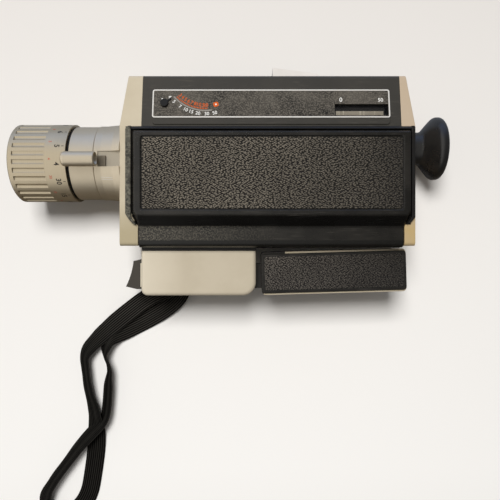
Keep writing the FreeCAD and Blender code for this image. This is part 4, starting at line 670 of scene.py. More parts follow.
class Finishes:
    """Every finish of the camera, each made once."""

    # painted shade: the castings are painted black under the edges of the door and the right cover, where
    # shade falls in the gaps
    SHADE_UNDER_DOOR = (
        Region((3.7, -34.4, 23.6), (12.5, 19.15, 26.5)),
        Region((172.8, -36.4, 23.6), (180.4, 19.15, 26.5)),
        Region((9.0, -41.0, 20.0), (12.5, -34.4, 26.5)),
        Region((172.8, -41.0, 20.0), (178.2, -35.6, 26.5)),
        Region((3.7, -34.4, -26.5), (12.5, 19.15, -23.6)),
        Region((172.8, -36.4, -26.5), (180.4, 19.15, -23.6)),
    )
    CHAMPAGNE = casting(
        "champagne casting", (0.58, 0.505, 0.375), (0.52, 0.445, 0.32),
        regions=SHADE_UNDER_DOOR, foot=(0.43, 0.365, 0.235),
    )
    REAR_CHAMPAGNE = casting(
        "rear champagne casting", (0.54, 0.43, 0.31), (0.50, 0.39, 0.27),
        regions=SHADE_UNDER_DOOR, foot=(0.54, 0.39, 0.165),
    )
    GRIP = casting(
        "champagne grip", (0.57, 0.50, 0.38), (0.51, 0.44, 0.325),
        # painted highlight: the grip's left end is painted lighter, fading out towards the rear
        regions=(Region((-10.0, -100.0, -30.0), (38.0, -50.0, 40.0), (0.74, 0.665, 0.53), 36.0),),
    )
    HANDLE_METAL = casting(
        "champagne handle core", (0.57, 0.49, 0.36), (0.50, 0.42, 0.29), 0.0004,
        # painted shade: the handle core is painted dark at its tongue and at the top of its front end, in the
        # gap to the grip block where shade falls
        regions=(
            Region((60.0, -100.0, -20.0), (88.4, -50.0, 20.0), (0.02, 0.018, 0.016)),
            Region((60.0, -60.5, -20.0), (102.0, -50.0, 20.0), (0.02, 0.018, 0.016)),
        ),
    )
    BLACK = Shell(
        "satin black shell", (0.007, 0.0066, 0.0058), (0.016, 0.0148, 0.0125), 0.38,
        grain=900.0, depth=0.00005, soften=0.0008, level=0.4, scratch=0.1,
    )
    # painted sheen: the upper cover's black is painted lighter than the other black shells, for the grey
    # sheen it shows
    UPPER_PAINTED_SHEEN = Shell(
        "upper black shell with painted sheen", (0.037, 0.034, 0.0285), (0.050, 0.045, 0.037), 0.42,
        grain=3000.0, depth=0.00001, soften=0.0006, level=0.4, scratch=0.2,
    )
    GLOSS = Shell(
        "glossy black door", (0.008, 0.0074, 0.0064), (0.024, 0.0215, 0.018), 0.28,
        grain=1500.0, soften=0.0014, speckle=0.75, dots=1150.0, scratch=0.25,
        speckled=Region((7.0, -50.6, -30.0), (104.0, -41.8, 30.0), (0.135, 0.122, 0.094), 84.0),
        regions=(
            # painted shade: the door's lower edge, its slope and its bottom roll are painted darker, where
            # they turn away from the light
            Region((5.0, -41.8, -30.0), (182.0, -34.9, 30.0), (0.002, 0.0019, 0.0018)),
            Region((5.0, -34.9, -30.0), (182.0, -31.3, 30.0), (0.0045, 0.0042, 0.0038)),
            Region((5.0, -56.0, -30.0), (182.0, -50.6, 30.0), (0.006, 0.0057, 0.005)),
        ),
    )
    GRAINED = Shell(
        "grained black rim", (0.012, 0.011, 0.009), (0.16, 0.15, 0.115), 0.42,
        grain=900.0, depth=0.00012, soften=0.0005, speckle=0.8,
        regions=(
            Region((7.2, 17.0, 23.0), (182.0, 19.6, 27.0)), Region((172.0, -50.0, 23.0), (182.0, 19.6, 27.0)),
        ),
    )
    HANDLE = Shell(
        "handle casting", (0.011, 0.0105, 0.0095), (0.022, 0.020, 0.0175), 0.38,
        grain=3000.0, depth=0.00001, level=0.3, scratch=0.4,
    )
    PLASTIC = Shell(
        "black moulding", (0.010, 0.010, 0.010), (0.020, 0.019, 0.018), 0.5,
        grain=2200.0, soften=0.0002, level=0.3,
    )
    PANEL = Shell(
        "name panel", (0.009, 0.0083, 0.007), (0.142, 0.127, 0.105), 0.5,
        grain=1500.0, depth=0.00006, soften=0.0001, level=0.3, speckle=0.85, dots=1350.0,
    )
    RUBBER = Shell(
        "eyecup rubber", (0.009, 0.0088, 0.0088), (0.014, 0.0138, 0.014), 0.30,
        grain=1800.0, depth=0.00001, soften=0.0, level=0.6,
    )
    OLIVE = Shell("olive moulding", (0.040, 0.036, 0.029), (0.055, 0.049, 0.040), 0.5, grain=2600.0)
    GREY = Shell("pale grey moulding", (0.74, 0.70, 0.66), (0.62, 0.58, 0.54), 0.45, grain=2600.0)
    SCALE = ink("counter scale", (0.33, 0.29, 0.225), (0.42, 0.37, 0.29), 2600.0)
    PALE = ink("pale counter bars", (0.60, 0.54, 0.42), (0.50, 0.45, 0.35), 2600.0)
    WHITE = ink("white print", (0.80, 0.79, 0.75), (0.62, 0.61, 0.58))
    LINE = ink("grey scale line", (0.30, 0.28, 0.25), (0.22, 0.20, 0.18))
    ORANGE = ink("orange print", (0.62, 0.115, 0.018), (0.42, 0.075, 0.015))
    RED = ink("red print", (0.50, 0.10, 0.06), (0.4, 0.1, 0.06))
    INK = ink("black print", (0.012, 0.0115, 0.011), (0.03, 0.028, 0.025), level=0.3)
    BOARD = Shell("circuit board", (0.16, 0.20, 0.07), (0.12, 0.14, 0.05), 0.35, 0.0, 1400.0, 0.00003, 0.0)
    CELL = Shell("cell jacket", (0.10, 0.105, 0.115), (0.20, 0.20, 0.19), 0.28, 0.2, 2600.0, 0.00001, 0.0003)
    BRIGHT = Shell("bright trim", (0.80, 0.77, 0.72), (0.66, 0.63, 0.58), 0.40, 0.3, 2400.0, 0.00001, 0.0003)
    STEEL = Shell("ground steel", (0.46, 0.45, 0.43), (0.36, 0.35, 0.33), 0.40, 0.8, 3000.0, 0.00001, 0.0002)
    BRASS = Shell("turned brass", (0.60, 0.43, 0.18), (0.46, 0.33, 0.14), 0.36, 0.8, 3000.0, 0.00001, 0.0002)
    HIDE = Hide("coarse leatherette", (0.008, 0.007, 0.0055), (0.27, 0.235, 0.185), 960.0, 0.0006, 0.75)
    FINE_HIDE = Hide("fine leatherette", (0.007, 0.0065, 0.006), (0.215, 0.19, 0.16), 1250.0, 0.0004, 0.65)
    LENS_METAL = Turned(
        "satin lens barrel", (0.72, 0.64, 0.50), (0.60, 0.52, 0.395),
        regions=(
            Region((-13.7, -5.3, 22.6), (-0.1, 4.2, 23.5), (0.54, 0.485, 0.39)),
            Region((-13.3, -5.1, 22.0), (-8.5, 1.3, 25.0), (0.27, 0.235, 0.18)),
        ),
    )
    FOCUS_METAL = Turned("focus ring metal", (0.64, 0.555, 0.41), (0.48, 0.41, 0.29), 0.30, 3000.0)
    WEBBING = Webbing("ribbed webbing", (0.0008, 0.0008, 0.0008), (0.105, 0.097, 0.084))
    WINDOW = Clear("window pane", (0.02, 0.02, 0.022), (0.05, 0.12), 90.0, 0.12, 0.0)
    COATED = Clear("coated element", (0.55, 0.60, 0.72), (0.02, 0.06), 120.0)

    made: dict[str, bpy.types.Material] = {}

    @classmethod
    def get(cls, finish: Finish) -> bpy.types.Material:
        """The material of a finish, made at its first use.

        Args:
            finish: The finish.

        Returns:
            Its material.
        """
        if finish.name not in cls.made:
            cls.made[finish.name] = finish.build()
        return cls.made[finish.name]


# Modelling by operators


class Bench:
    """Operators on one piece at a time, which alone is selected."""

    @staticmethod
    def hold(piece: Piece) -> Piece:
        """Makes a piece the only one that is selected, and active.

        Args:
            piece: The piece.

        Returns:
            The piece.
        """
        bpy.ops.object.select_all(action="DESELECT")
        piece.select_set(True)
        bpy.context.view_layer.objects.active = piece
        return piece

    @staticmethod
    def named(name: str) -> Piece:
        """Names the active object and its mesh.

        Args:
            name: The name.

        Returns:
            The active object.
        """
        piece = bpy.context.active_object
        piece.name = name
        piece.data.name = name
        return piece

    @staticmethod
    def settle(piece: Piece, place: Matrix | None = None) -> Piece:
        """Puts a piece's place, turn and scale into its mesh.

        Args:
            piece: The piece.
            place: Where to put it first, unless it stands there.

        Returns:
            The piece, at the origin.
        """
        if place is not None:
            piece.matrix_world = place
        Bench.hold(piece)
        bpy.ops.object.transform_apply(location=True, rotation=True, scale=True)
        return piece

    @staticmethod
    def edit(piece: Piece) -> None:
        """Enters edit mode on a piece, with all of it selected.

        Args:
            piece: The piece.
        """
        Bench.hold(piece)
        bpy.ops.object.mode_set(mode="EDIT")
        bpy.ops.mesh.select_all(action="SELECT")

    @staticmethod
    def leave() -> None:
        """Leaves edit mode."""
        bpy.ops.object.mode_set(mode="OBJECT")

    @staticmethod
    def close(distance: float) -> None:
        """Joins points that meet, turns the faces outward and leaves edit mode.

        Args:
            distance: How near the points lie, in metres.
        """
        bpy.ops.mesh.select_all(action="SELECT")
        bpy.ops.mesh.remove_doubles(threshold=distance)
        bpy.ops.mesh.normals_make_consistent(inside=False)
        Bench.leave()

    @staticmethod
    def round_edges(piece: Piece, wanted: Callable[[Vector, Vector], bool], width: float, steps: int) -> None:
        """Bevels some edges of a piece.

        Args:
            piece: The piece.
            wanted: Says from an edge's two ends whether it is one of them.
            width: The bevel's width in metres.
            steps: Its segments.
        """
        Bench.hold(piece)
        bpy.ops.object.mode_set(mode="EDIT")
        bpy.ops.mesh.select_mode(type="EDGE")
        bpy.ops.mesh.select_all(action="DESELECT")
        Bench.leave()
        points = piece.data.vertices
        for edge in piece.data.edges:
            edge.select = wanted(points[edge.vertices[0]].co, points[edge.vertices[1]].co)
        bpy.ops.object.mode_set(mode="EDIT")
        bpy.ops.mesh.bevel(offset=width, segments=steps, affect="EDGES")
        Bench.leave()

    @staticmethod
    def join(name: str, pieces: Sequence[Piece]) -> Piece:
        """Joins several pieces into one.

        Args:
            name: The name of the whole.
            pieces: The pieces.

        Returns:
            The whole.
        """
        Bench.hold(pieces[0])
        for piece in pieces:
            piece.select_set(True)
        if len(pieces) > 1:
            bpy.ops.object.join()
        return Bench.named(name)

    @staticmethod
    def block(name: str, low: Vector, high: Vector) -> Piece:
        """Makes a block between two corners, given in metres."""
        bpy.ops.mesh.primitive_cube_add(size=1, location=(low + high) / 2, scale=high - low)
        return Bench.settle(Bench.named(name))

    @staticmethod
    def smooth(piece: Piece, degrees: float) -> Piece:
        """Shades a piece smooth up to an angle.

        Args:
            piece: The piece.
            degrees: The angle between faces above which their edge stays sharp.

        Returns:
            The piece.
        """
        Bench.hold(piece)
        bpy.ops.object.shade_smooth_by_angle(angle=math.radians(degrees))
        return piece

    @staticmethod
    def turned(name: str, profile: Sequence[Pair], axis: Pair, steps: int) -> Piece:
        """Makes a form turned about an axis along x, closed where the profile comes back to its start.

        Args:
            name: The form's name.
            profile: (x, radius) in millimetres in the camera's own frame; the last equals the first.
            axis: The (y, z) of the axis.
            steps: Faces round the axis.

        Returns:
            The form.
        """
        x, radius = profile[0]
        bpy.ops.mesh.primitive_circle_add(
            vertices=steps, radius=radius / 1000, location=spot(x, *axis), rotation=(0, math.pi / 2, 0)
        )
        piece = Bench.settle(Bench.named(name))
        Bench.edit(piece)
        for (x0, r0), (x1, r1) in zip(profile, profile[1:]):
            bpy.ops.mesh.extrude_region_move(TRANSFORM_OT_translate={"value": ((x1 - x0) / 1000, 0, 0)})
            share = r1 / r0
            bpy.ops.transform.resize(value=(1, share, share), center_override=spot(x1, *axis))
        Bench.close(0.000005)
        return piece

    @staticmethod
    def letter(text: str, size: float, place: Matrix) -> Piece:
        """Makes a flat numeral as a mesh.

        Args:
            text: The numeral.
            size: Its height in millimetres.
            place: Where its middle goes and how it is turned.

        Returns:
            The numeral, lying where it is printed.
        """
        body_to_height = 1.38
        bpy.ops.object.text_add()
        letter = bpy.context.active_object.data
        letter.body = text
        letter.size = size * body_to_height / 1000
        letter.align_x = letter.align_y = "CENTER"
        letter.offset = size * 0.00002
        letter.resolution_u = 3
        bpy.ops.object.convert(target="MESH")
        return Bench.settle(bpy.context.active_object, place)

    @staticmethod
    def mark(width: float, height: float, place: Matrix) -> Piece:
        """Makes a printed bar, with its corners cut, as a mesh.

        Args:
            width: Its width in millimetres.
            height: Its height in millimetres.
            place: Where its middle goes and how it is turned.

        Returns:
            The bar, lying where it is printed.
        """
        bpy.ops.mesh.primitive_plane_add(size=1)
        piece = Bench.settle(bpy.context.active_object, Matrix.Diagonal((width / 1000, height / 1000, 1, 1)))
        Bench.edit(piece)
        bpy.ops.mesh.bevel(offset=min(width, height) / 5000, segments=1, affect="VERTICES")
        Bench.leave()
        return Bench.settle(piece, place)


def dress(piece: Piece, finish: Finish, body: Body) -> Piece:
    """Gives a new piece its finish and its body.

    Args:
        piece: The piece.
        finish: Its finish.
        body: The body that it rides on.

    Returns:
        The piece.
    """
    piece.data.materials.clear()
    piece.data.materials.append(Finishes.get(finish))
    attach(piece, body.value)
    log.info("%s: %d faces", piece.name, len(piece.data.polygons))
    return piece


# Sub-assemblies


@dataclass
class WristStrap:
    """Flat woven strap in one long loop, both ends at the lug under the grip block."""

    width: float = 13.0
    thickness: float = 1.2
    ribs: int = 7
    steps_per_rib: int = 6
    groove: float = 0.18
    hem: float = 0.06
    # x, y and z in the camera's own frame, and how far the strap leans out of flat, in degrees
    route: tuple[tuple[float, float, float, float], ...] = (
        (32.0, -71.7, -17.8, 0), (31.6, -79.5, -18.8, 0), (20.5, -84.5, -20.2, 0), (7.6, -90.0, -22.2, 10),
        (-7.2, -101.2, -24.5, 4), (-20.4, -112.0, -26.6, -16), (-31.4, -122.0, -28.4, -34),
        (-38.9, -131.0, -29.3, -47), (-37.2, -143.0, -29.4, -49), (-35.8, -155.5, -29.4, -46),
        (-31.4, -170.5, -29.4, -34), (-30.2, -185.5, -29.4, -8), (-31.0, -200.5, -29.4, 0),
        (-33.2, -217.0, -29.4, 0), (-36.0, -233.0, -29.4, 0), (-45.0, -245.0, -29.4, 0),
        (-60.0, -247.0, -29.4, 10), (-68.0, -236.5, -29.4, 30), (-61.5, -222.6, -29.4, 54),
        (-51.4, -209.2, -29.0, 57), (-42.2, -196.6, -28.0, 53), (-32.4, -185.8, -27.2, 50),
        (-23.6, -177.8, -27.3, 54), (-22.0, -166.2, -28.4, 48), (-21.2, -152.0, -29.4, 48),
        (-19.4, -141.0, -29.4, 62), (-24.6, -130.5, -29.4, 66), (-21.0, -119.0, -29.4, 40),
        (-8.0, -113.8, -29.4, 8), (8.6, -105.4, -28.6, 0), (22.4, -96.6, -26.4, 0), (30.6, -88.0, -23.4, 0),
        (31.9, -80.0, -21.0, 0), (32.0, -71.7, -19.4, 0),
    )

    def spine(self) -> list[Vector]:
        """Reads the smooth line through the route.

        Returns:
            Its points in metres.
        """
        curve = bpy.data.curves.new("strap line", "CURVE")
        curve.dimensions = "3D"
        spline = curve.splines.new("NURBS")
        spline.points.add(len(self.route) - 1)
        for point, (x, y, z, _) in zip(spline.points, self.route):
            point.co = (*spot(x, y, z), 1)
        spline.order_u = 3
        spline.use_endpoint_u = True
        spline.resolution_u = 10
        holder = bpy.data.objects.new("strap line", curve)
        bpy.context.scene.collection.objects.link(holder)
        mesh = bpy.data.meshes.new_from_object(holder)
        line = [vertex.co.copy() for vertex in mesh.vertices]
        bpy.data.objects.remove(holder)
        return line

    def lean(self, share: float) -> float:
        """How far the strap leans out of flat.

        Args:
            share: How far along the route, from nought to one.

        Returns:
            The lean in radians, eased from one point of the route to the next.
        """
        reach = share * (len(self.route) - 1)
        before = min(int(reach), len(self.route) - 2)
        part = reach - before
        ease = part * part * (3 - 2 * part)
        return math.radians(self.route[before][3] * (1 - ease) + self.route[before + 1][3] * ease)

    def section(self, place: Vector, ahead: Vector, lean: float) -> tuple[Vector, list[Vector]]:
        """Sets the strap's ribbed section across its line, clear of the table.

        Args:
            place: The line's point.
            ahead: The line's direction.
            lean: How far the strap leans there, in radians.

        Returns:
            The section's middle, and its outline over the top and back underneath.
        """
        half, edge = self.width / 2000, self.thickness / 2000
        level = ahead.cross(Vector((0, 0, 1))).normalized()
        up = level.cross(ahead).normalized()
        side = level * math.cos(lean) + up * math.sin(lean)
        rise = up * math.cos(lean) - level * math.sin(lean)
        clearance = edge * 0.105
        middle = place.copy()
        middle.z = max(middle.z, abs(side.z) * half + abs(rise.z) * edge + clearance)
        across = self.ribs * self.steps_per_rib
        outline = []
        for face in (1, -1):
            for j in range(across + 1):
                s = (j / across * 2 - 1) * face
                wave = 1 - self.groove + self.groove * math.cos(s * math.pi * self.ribs)
                into_hem = max(0.0, (abs(s) - 1 + self.hem) / self.hem)
                thick = wave * max(0.0, 1 - into_hem ** 2) ** 0.5
                outline.append(middle + side * half * s + rise * edge * thick * face)
        return middle, outline

    def ribbon(self, rows: list[list[Vector]], lengths: list[float]) -> Piece:
        """Skins the sections and maps the weave onto them.

        Args:
            rows: The sections' outlines.
            lengths: How far along the strap each one is, in metres.

        Returns:
            The ribbon.
        """
        count = len(rows[0])
        last = (len(rows) - 1) * count
        faces = [
            (k + j, k + (j + 1) % count, k + count + (j + 1) % count, k + count + j)
            for k in range(0, last, count) for j in range(count)
        ]
        faces.append(tuple(range(count - 1, -1, -1)))
        faces.append(tuple(range(last, last + count)))
        mesh = bpy.data.meshes.new("strap_webbing")
        mesh.from_pydata([tuple(point) for row in rows for point in row], [], faces)
        across = count // 2 - 1
        layer = mesh.uv_layers.new(name="weave")
        for loop in mesh.loops:
            k, j = divmod(loop.vertex_index, count)
            layer.data[loop.index].uv = (lengths[k], min(j, 2 * across + 1 - j) / across)
        piece = bpy.data.objects.new("strap_webbing", mesh)
        bpy.context.scene.collection.objects.link(piece)
        Bench.edit(piece)
        Bench.close(0.000002)
        return Bench.smooth(piece, 50)

    def build(self) -> None:
        line = self.spine()
        last = len(line) - 1
        path, rows, lengths = [], [], [0.0]
        for k, place in enumerate(line):
            ahead = (line[min(k + 1, last)] - line[max(k - 1, 0)]).normalized()
            middle, outline = self.section(place, ahead, self.lean(k / last))
            path.append(middle)
            rows.append(outline)
        for a, b in zip(path, path[1:]):
            lengths.append(lengths[-1] + (b - a).length)
        piece = self.ribbon(rows, lengths)
        dress(piece, Finishes.WEBBING, Body.CAMERA)
        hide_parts("wrist_strap")
        log.info("strap: %.1f mm long", lengths[-1] * 1000)


@dataclass
class LensDress:
    """Printed figures and index lines of the lens."""

    focus_radius: float = 25.02
    barrel_radius: float = 24.39
    barrel_cone: float = -5.7
    figures: tuple[str, ...] = ("4", "5", "6", "8", "10", "15", "30") * 2
    figure_x: float = -38.6
    figure_size: float = 3.2
    tick_x: float = -35.0
    tick: Pair = (0.35, 1.5)
    red_x: float = -43.0
    red_size: float = 1.7
    index_x: float = -8.6
    index_line: Pair = (7.4, 0.3)
    index_turns: Pair = (-28.8, -32.0)

    def around(self, x: float, degrees: float, radius: float, spin: float = 0.0) -> Matrix:
        """Where a figure lies on the lens, at an angle that is nought where it faces up from the table."""
        middle = Matrix.Translation(spot(x, 0, 0)) @ turned_by(-degrees, "X")
        return middle @ Matrix.Translation((0, 0, radius / 1000)) @ turned_by(spin, "Z")

    def build(self) -> None:
        """Prints the figures of the focus ring and the index lines of the barrel."""
        black, red = [], []
        for k, figure in enumerate(self.figures):
            turn = k * 360 / len(self.figures)
            rows = ((self.figure_x, -9), (self.tick_x, -9), (self.red_x, -2))
            place, tick, small = (self.around(x, turn + shift, self.focus_radius, -90) for x, shift in rows)
            black += [Bench.letter(figure, self.figure_size, place), Bench.mark(*self.tick, tick)]
            red.append(Bench.letter(figure, self.red_size, small))
        dress(Bench.join("focus_figures", black), Finishes.INK, Body.FOCUS)
        dress(Bench.join("focus_figures_red", red), Finishes.RED, Body.FOCUS)
        cone = turned_by(self.barrel_cone, "Y")
        lines = [
            Bench.mark(*self.index_line, self.around(self.index_x, turn, self.barrel_radius) @ cone)
            for turn in self.index_turns
        ]
        dress(Bench.join("barrel_index_lines", lines), Finishes.BRIGHT, Body.CAMERA)


@dataclass
class NamePanelPrint:
    """Plain scale and figures on the name panel, which carries no name."""

    panel: float = 0.9
    centre: Pair = (52.4, 35.1)
    outer: tuple[tuple[str, float], ...] = (
        ("4", -53), ("5", -44.4), ("7", -34.2), ("10", -26),
        ("15", -18.4), ("20", -9.4), ("30", 2), ("50", 12.3),
    )
    inner: tuple[str, ...] = ("3", "4", "5", "6", "7", "8", "10", "15", "20")
    outer_radius: float = 27.6
    outer_size: float = 2.2
    inner_radius: float = 22.0
    inner_size: float = 2.3
    # first angle and step of the inner figures, of the line's dashes and of the ticks
    inner_turns: Pair = (-45.0, 5.7)
    dash_turns: Pair = (-49.0, 1.9)
    tick_turns: Pair = (-46.0, 2.3)
    dash_radius: float = 25.4
    dash: Pair = (0.95, 0.8)
    dashes: int = 31
    tick_radius: float = 24.1
    tick: Pair = (0.5, 1.0)
    ticks: int = 22
    # radius and angle of the square mark at the scale's end
    square: Pair = (22.4, 16.8)
    dot: Pair = (25.8, 17.2)
    # figure, size and place of the marks by the counter
    counter: tuple[tuple[str, float, float, float], ...] = (("0", 2.8, 135.7, 16.5), ("50", 2.4, 160.1, 16.4))

    def at(self, x: float, up: float, spin: float = 0.0, out: float = 0.03) -> Matrix:
        """Where a figure lies on the panel, from its place along and up the slant and its turn."""
        place = Matrix.Translation(on_slant(x, up, self.panel + out))
        return place @ SLANT_TURN @ turned_by(spin, "Z")

    def on_arc(self, radius: float, degrees: float, out: float = 0.03) -> Matrix:
        """Where a figure lies on a circle about the scale's centre, its foot towards the outside.

        Args:
            radius: The circle's radius in millimetres.
            degrees: The figure's place on it, nought at the foot of the circle.
            out: Millimetres out of the panel.

        Returns:
            The figure's matrix.
        """
        angle = math.radians(degrees)
        x = self.centre[0] + radius * math.sin(angle)
        up = self.centre[1] - radius * math.cos(angle)
        return self.at(x, up, degrees, out)

    def row(self, radius: float, turns: Pair, count: int, out: float = 0.02) -> list[Matrix]:
        """Places on a circle about the scale's centre, by the first one's angle and the step to the next."""
        return [self.on_arc(radius, turns[0] + k * turns[1], out) for k in range(count)]

    def build(self) -> None:
        """Prints the scale, its figures and the marks by the counter."""
        white = [
            Bench.letter(text, self.outer_size, self.on_arc(self.outer_radius, degrees))
            for text, degrees in self.outer
        ]
        white += [Bench.letter(text, size, self.at(*place)) for text, size, *place in self.counter]
        white.append(Bench.mark(0.9, 0.9, self.at(*self.dot)))
        white.append(Bench.mark(1.0, 1.0, self.on_arc(*self.square, 0.05)))
        dashes = self.row(self.dash_radius, self.dash_turns, self.dashes)
        line = [Bench.mark(*self.dash, place) for place in dashes]
        figures = self.row(self.inner_radius, self.inner_turns, len(self.inner), 0.03)
        orange = [Bench.letter(text, self.inner_size, place) for text, place in zip(self.inner, figures)]
        ticks = self.row(self.tick_radius, self.tick_turns, self.ticks)
        orange += [Bench.mark(*self.tick, place) for place in ticks]
        orange.append(Bench.mark(3.2, 3.0, self.on_arc(*self.square, 0.02)))
        for name, marks, finish in (
            ("panel_white_print", white, Finishes.WHITE), ("panel_scale_line", line, Finishes.LINE),
            ("panel_orange_print", orange, Finishes.ORANGE),
        ):
            dress(Bench.join(name, marks), finish, Body.CAMERA)


@dataclass
class CounterScale:
    """Pale scale round the counter drum, seen in the lower half of the window."""

    x: Pair = (132.9, 162.4)
    radius: float = 6.05
    axis: Pair = (28.26, 14.44)
    steps: int = 14
    # from its first edge to its last, in degrees from the place that faces out of the window
    reach: Pair = (-58.0, 2.0)
    # each bar's x and width
    bars: tuple[Pair, ...] = (
        (133.7, 0.35), (134.9, 0.6), (137.6, 0.7), (148.0, 1.1), (150.3, 0.7), (157.0, 0.4),
    )
    bar_height: float = 1.3
    bar_turns: Triple = (4.0, 18.0, 32.0)

    def strip(self) -> Piece:
        """Spins a narrow face round the drum.

        Returns:
            The scale's strip.
        """
        facing = math.degrees(SLANT) + 90
        each = (self.reach[1] - self.reach[0]) / self.steps
        half = math.radians(each / 2)
        radius = self.radius / 1000
        middle = spot(sum(self.x) / 2, *self.axis)
        bpy.ops.mesh.primitive_plane_add(size=1)
        piece = Bench.settle(
            Bench.named("counter_scale"),
            Matrix.Translation(middle) @ turned_by(90 - facing - self.reach[0] - each / 2, "X")
            @ Matrix.Translation((0, 0, radius * math.cos(half)))
            @ Matrix.Diagonal(((self.x[1] - self.x[0]) / 1000, 2 * radius * math.sin(half), 1, 1)),
        )
        Bench.edit(piece)
        turn = math.radians(-each * (self.steps - 1))
        bpy.ops.mesh.spin(steps=self.steps - 1, dupli=True, angle=turn, center=middle, axis=(-1, 0, 0))
        bpy.ops.mesh.select_all(action="SELECT")
        bpy.ops.mesh.remove_doubles(threshold=0.00002)
        Bench.leave()
        return Bench.smooth(piece, 60)

    def build(self) -> None:
        """Wraps the scale round the drum and prints its bars."""
        dress(self.strip(), Finishes.SCALE, Body.COUNTER)
        out = Matrix.Translation((0, 0, (self.radius + 0.04) / 1000))
        bars = []
        for x, width in self.bars:
            middle = Matrix.Translation(spot(x, *self.axis)) @ SLANT_TURN
            for degrees in self.bar_turns:
                bars.append(Bench.mark(width, self.bar_height, middle @ turned_by(degrees, "X") @ out))
        dress(Bench.join("counter_bars", bars), Finishes.PALE, Body.COUNTER)


@dataclass
class Eyecup:
    """Rubber cup of the viewfinder, flared to a soft rim."""

    start: float = 181.3
    axis: Pair = (11.4, -8.3)
    # millimetres behind the start and the radius there, along the outside and back through the inside
    profile: tuple[Pair, ...] = (
        (0.0, 9.1), (0.0, 10.4), (0.5, 10.9), (11.2, 10.9), (12.3, 11.3), (13.4, 12.2), (15.4, 14.5),
        (17.8, 17.3), (19.8, 19.5), (20.9, 20.4), (22.0, 20.8), (23.8, 20.8), (25.1, 20.3), (25.9, 19.4),
        (26.0, 18.5), (25.5, 17.9), (22.8, 17.5), (20.4, 17.1), (17.4, 14.2), (14.8, 11.4), (12.9, 10.0),
        (9.5, 9.8), (8.8, 8.5), (8.25, 8.5), (8.25, 9.1), (0.0, 9.1),
    )

    def build(self) -> None:
        """Turns the cup and rounds its rim."""
        profile = [(self.start + x, radius) for x, radius in self.profile]
        piece = Bench.smooth(Bench.turned("eyecup_rubber", profile, self.axis, 96), 40)
        dress(piece, Finishes.RUBBER, Body.EYE)
        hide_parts("eyecup")


@dataclass
class HandleHide:
    """Leatherette panels set in the handle's side covers."""

    pivot: Pair = (74.7, -73.7)
    x: Pair = (14.4, 101.9)
    y: Pair = (-8.9, 12.2)
    face: float = 15.0
    rise: float = 0.22
    root: float = 0.5
    corner: float = 1.4
    roll: float = 0.18
    tilt: float = 1.6

    def build(self) -> None:
        """Models the two panels with a rounded outline and rolled edges."""
        turn = Matrix.Translation(spot(*self.pivot, 0)) @ turned_by(self.tilt, "Z")
        low = Vector((self.x[0], self.y[0], 0)) / 1000
        high = Vector((self.x[1], self.y[1], self.rise + self.root)) / 1000
        middle = Matrix.Translation((0, (low.y + high.y) / 2, 0))
        lift = Matrix.Translation((0, 0, (self.face - self.root) / 1000))
        over = middle @ turned_by(180, "X") @ middle.inverted()
        for name, side in (("handle_hide_left", lift), ("handle_hide_right", over @ lift)):
            piece = Bench.block(name, low, high)
            Bench.round_edges(piece, lambda a, b: abs(a.z - b.z) > high.z / 2, self.corner / 1000, 6)
            Bench.round_edges(piece, lambda a, b: min(a.z, b.z) > high.z * 0.9, self.roll / 1000, 3)
            Bench.smooth(Bench.settle(piece, turn @ side), 40)
            dress(piece, Finishes.FINE_HIDE, Body.HANDLE)


@dataclass
class PackedNodes:
    """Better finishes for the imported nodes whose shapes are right."""

    by_slot: dict[Slot, Finish] = field(default_factory=lambda: {
        Slot.CHAMPAGNE_METAL: Finishes.CHAMPAGNE,
        Slot.BLACK_SHELL: Finishes.BLACK,
        Slot.BLACK_PLASTIC: Finishes.PLASTIC,
        Slot.LENS_METAL: Finishes.LENS_METAL,
        Slot.LEATHERETTE: Finishes.HIDE,
        Slot.NAME_PANEL: Finishes.PANEL,
        Slot.BRIGHT_TRIM: Finishes.BRIGHT,
        Slot.WINDOW_GLASS: Finishes.WINDOW,
        Slot.LENS_GLASS: Finishes.COATED,
        Slot.SCALE_PLASTIC: Finishes.INK,
        Slot.GREY_PLASTIC: Finishes.GREY,
        Slot.OLIVE_PLASTIC: Finishes.OLIVE,
        Slot.BOARD: Finishes.BOARD,
        Slot.STEEL: Finishes.STEEL,
        Slot.BRASS: Finishes.BRASS,
        Slot.EYECUP_RUBBER: Finishes.RUBBER,
        Slot.WEBBING: Finishes.WEBBING,
        Slot.CELL_JACKET: Finishes.CELL,
    })
    by_node: dict[str, Finish] = field(default_factory=lambda: {
        "upper_cover": Finishes.UPPER_PAINTED_SHEEN,
        "film_door": Finishes.GLOSS,
        "right_cover": Finishes.GLOSS,
        "door_surround": Finishes.GRAINED,
        "focus_ring": Finishes.FOCUS_METAL,
        "rear_casting": Finishes.REAR_CHAMPAGNE,
        "handle_core": Finishes.HANDLE_METAL,
        "handle_left_cover": Finishes.HANDLE,
        "handle_right_cover": Finishes.HANDLE,
        "grip_left_shell": Finishes.GRIP,
        "grip_right_shell": Finishes.GRIP,
        "index_knob": Finishes.PLASTIC,
    })

    def dress(self, frame: dict[str, Any]) -> None:
        """Assigns the finishes.
        """
        slots = {entry["node"]: entry["material_slot"] for entry in frame["record"]["subparts"]}
        for node, piece in frame["nodes"].items():
            material = Finishes.get(self.by_node.get(node) or self.by_slot[Slot(slots[node])])
            if not piece.material_slots:
                piece.data.materials.append(material)
            for entry in piece.material_slots:
                entry.material = material
        log.info("packed nodes: %d dressed", len(frame["nodes"]))


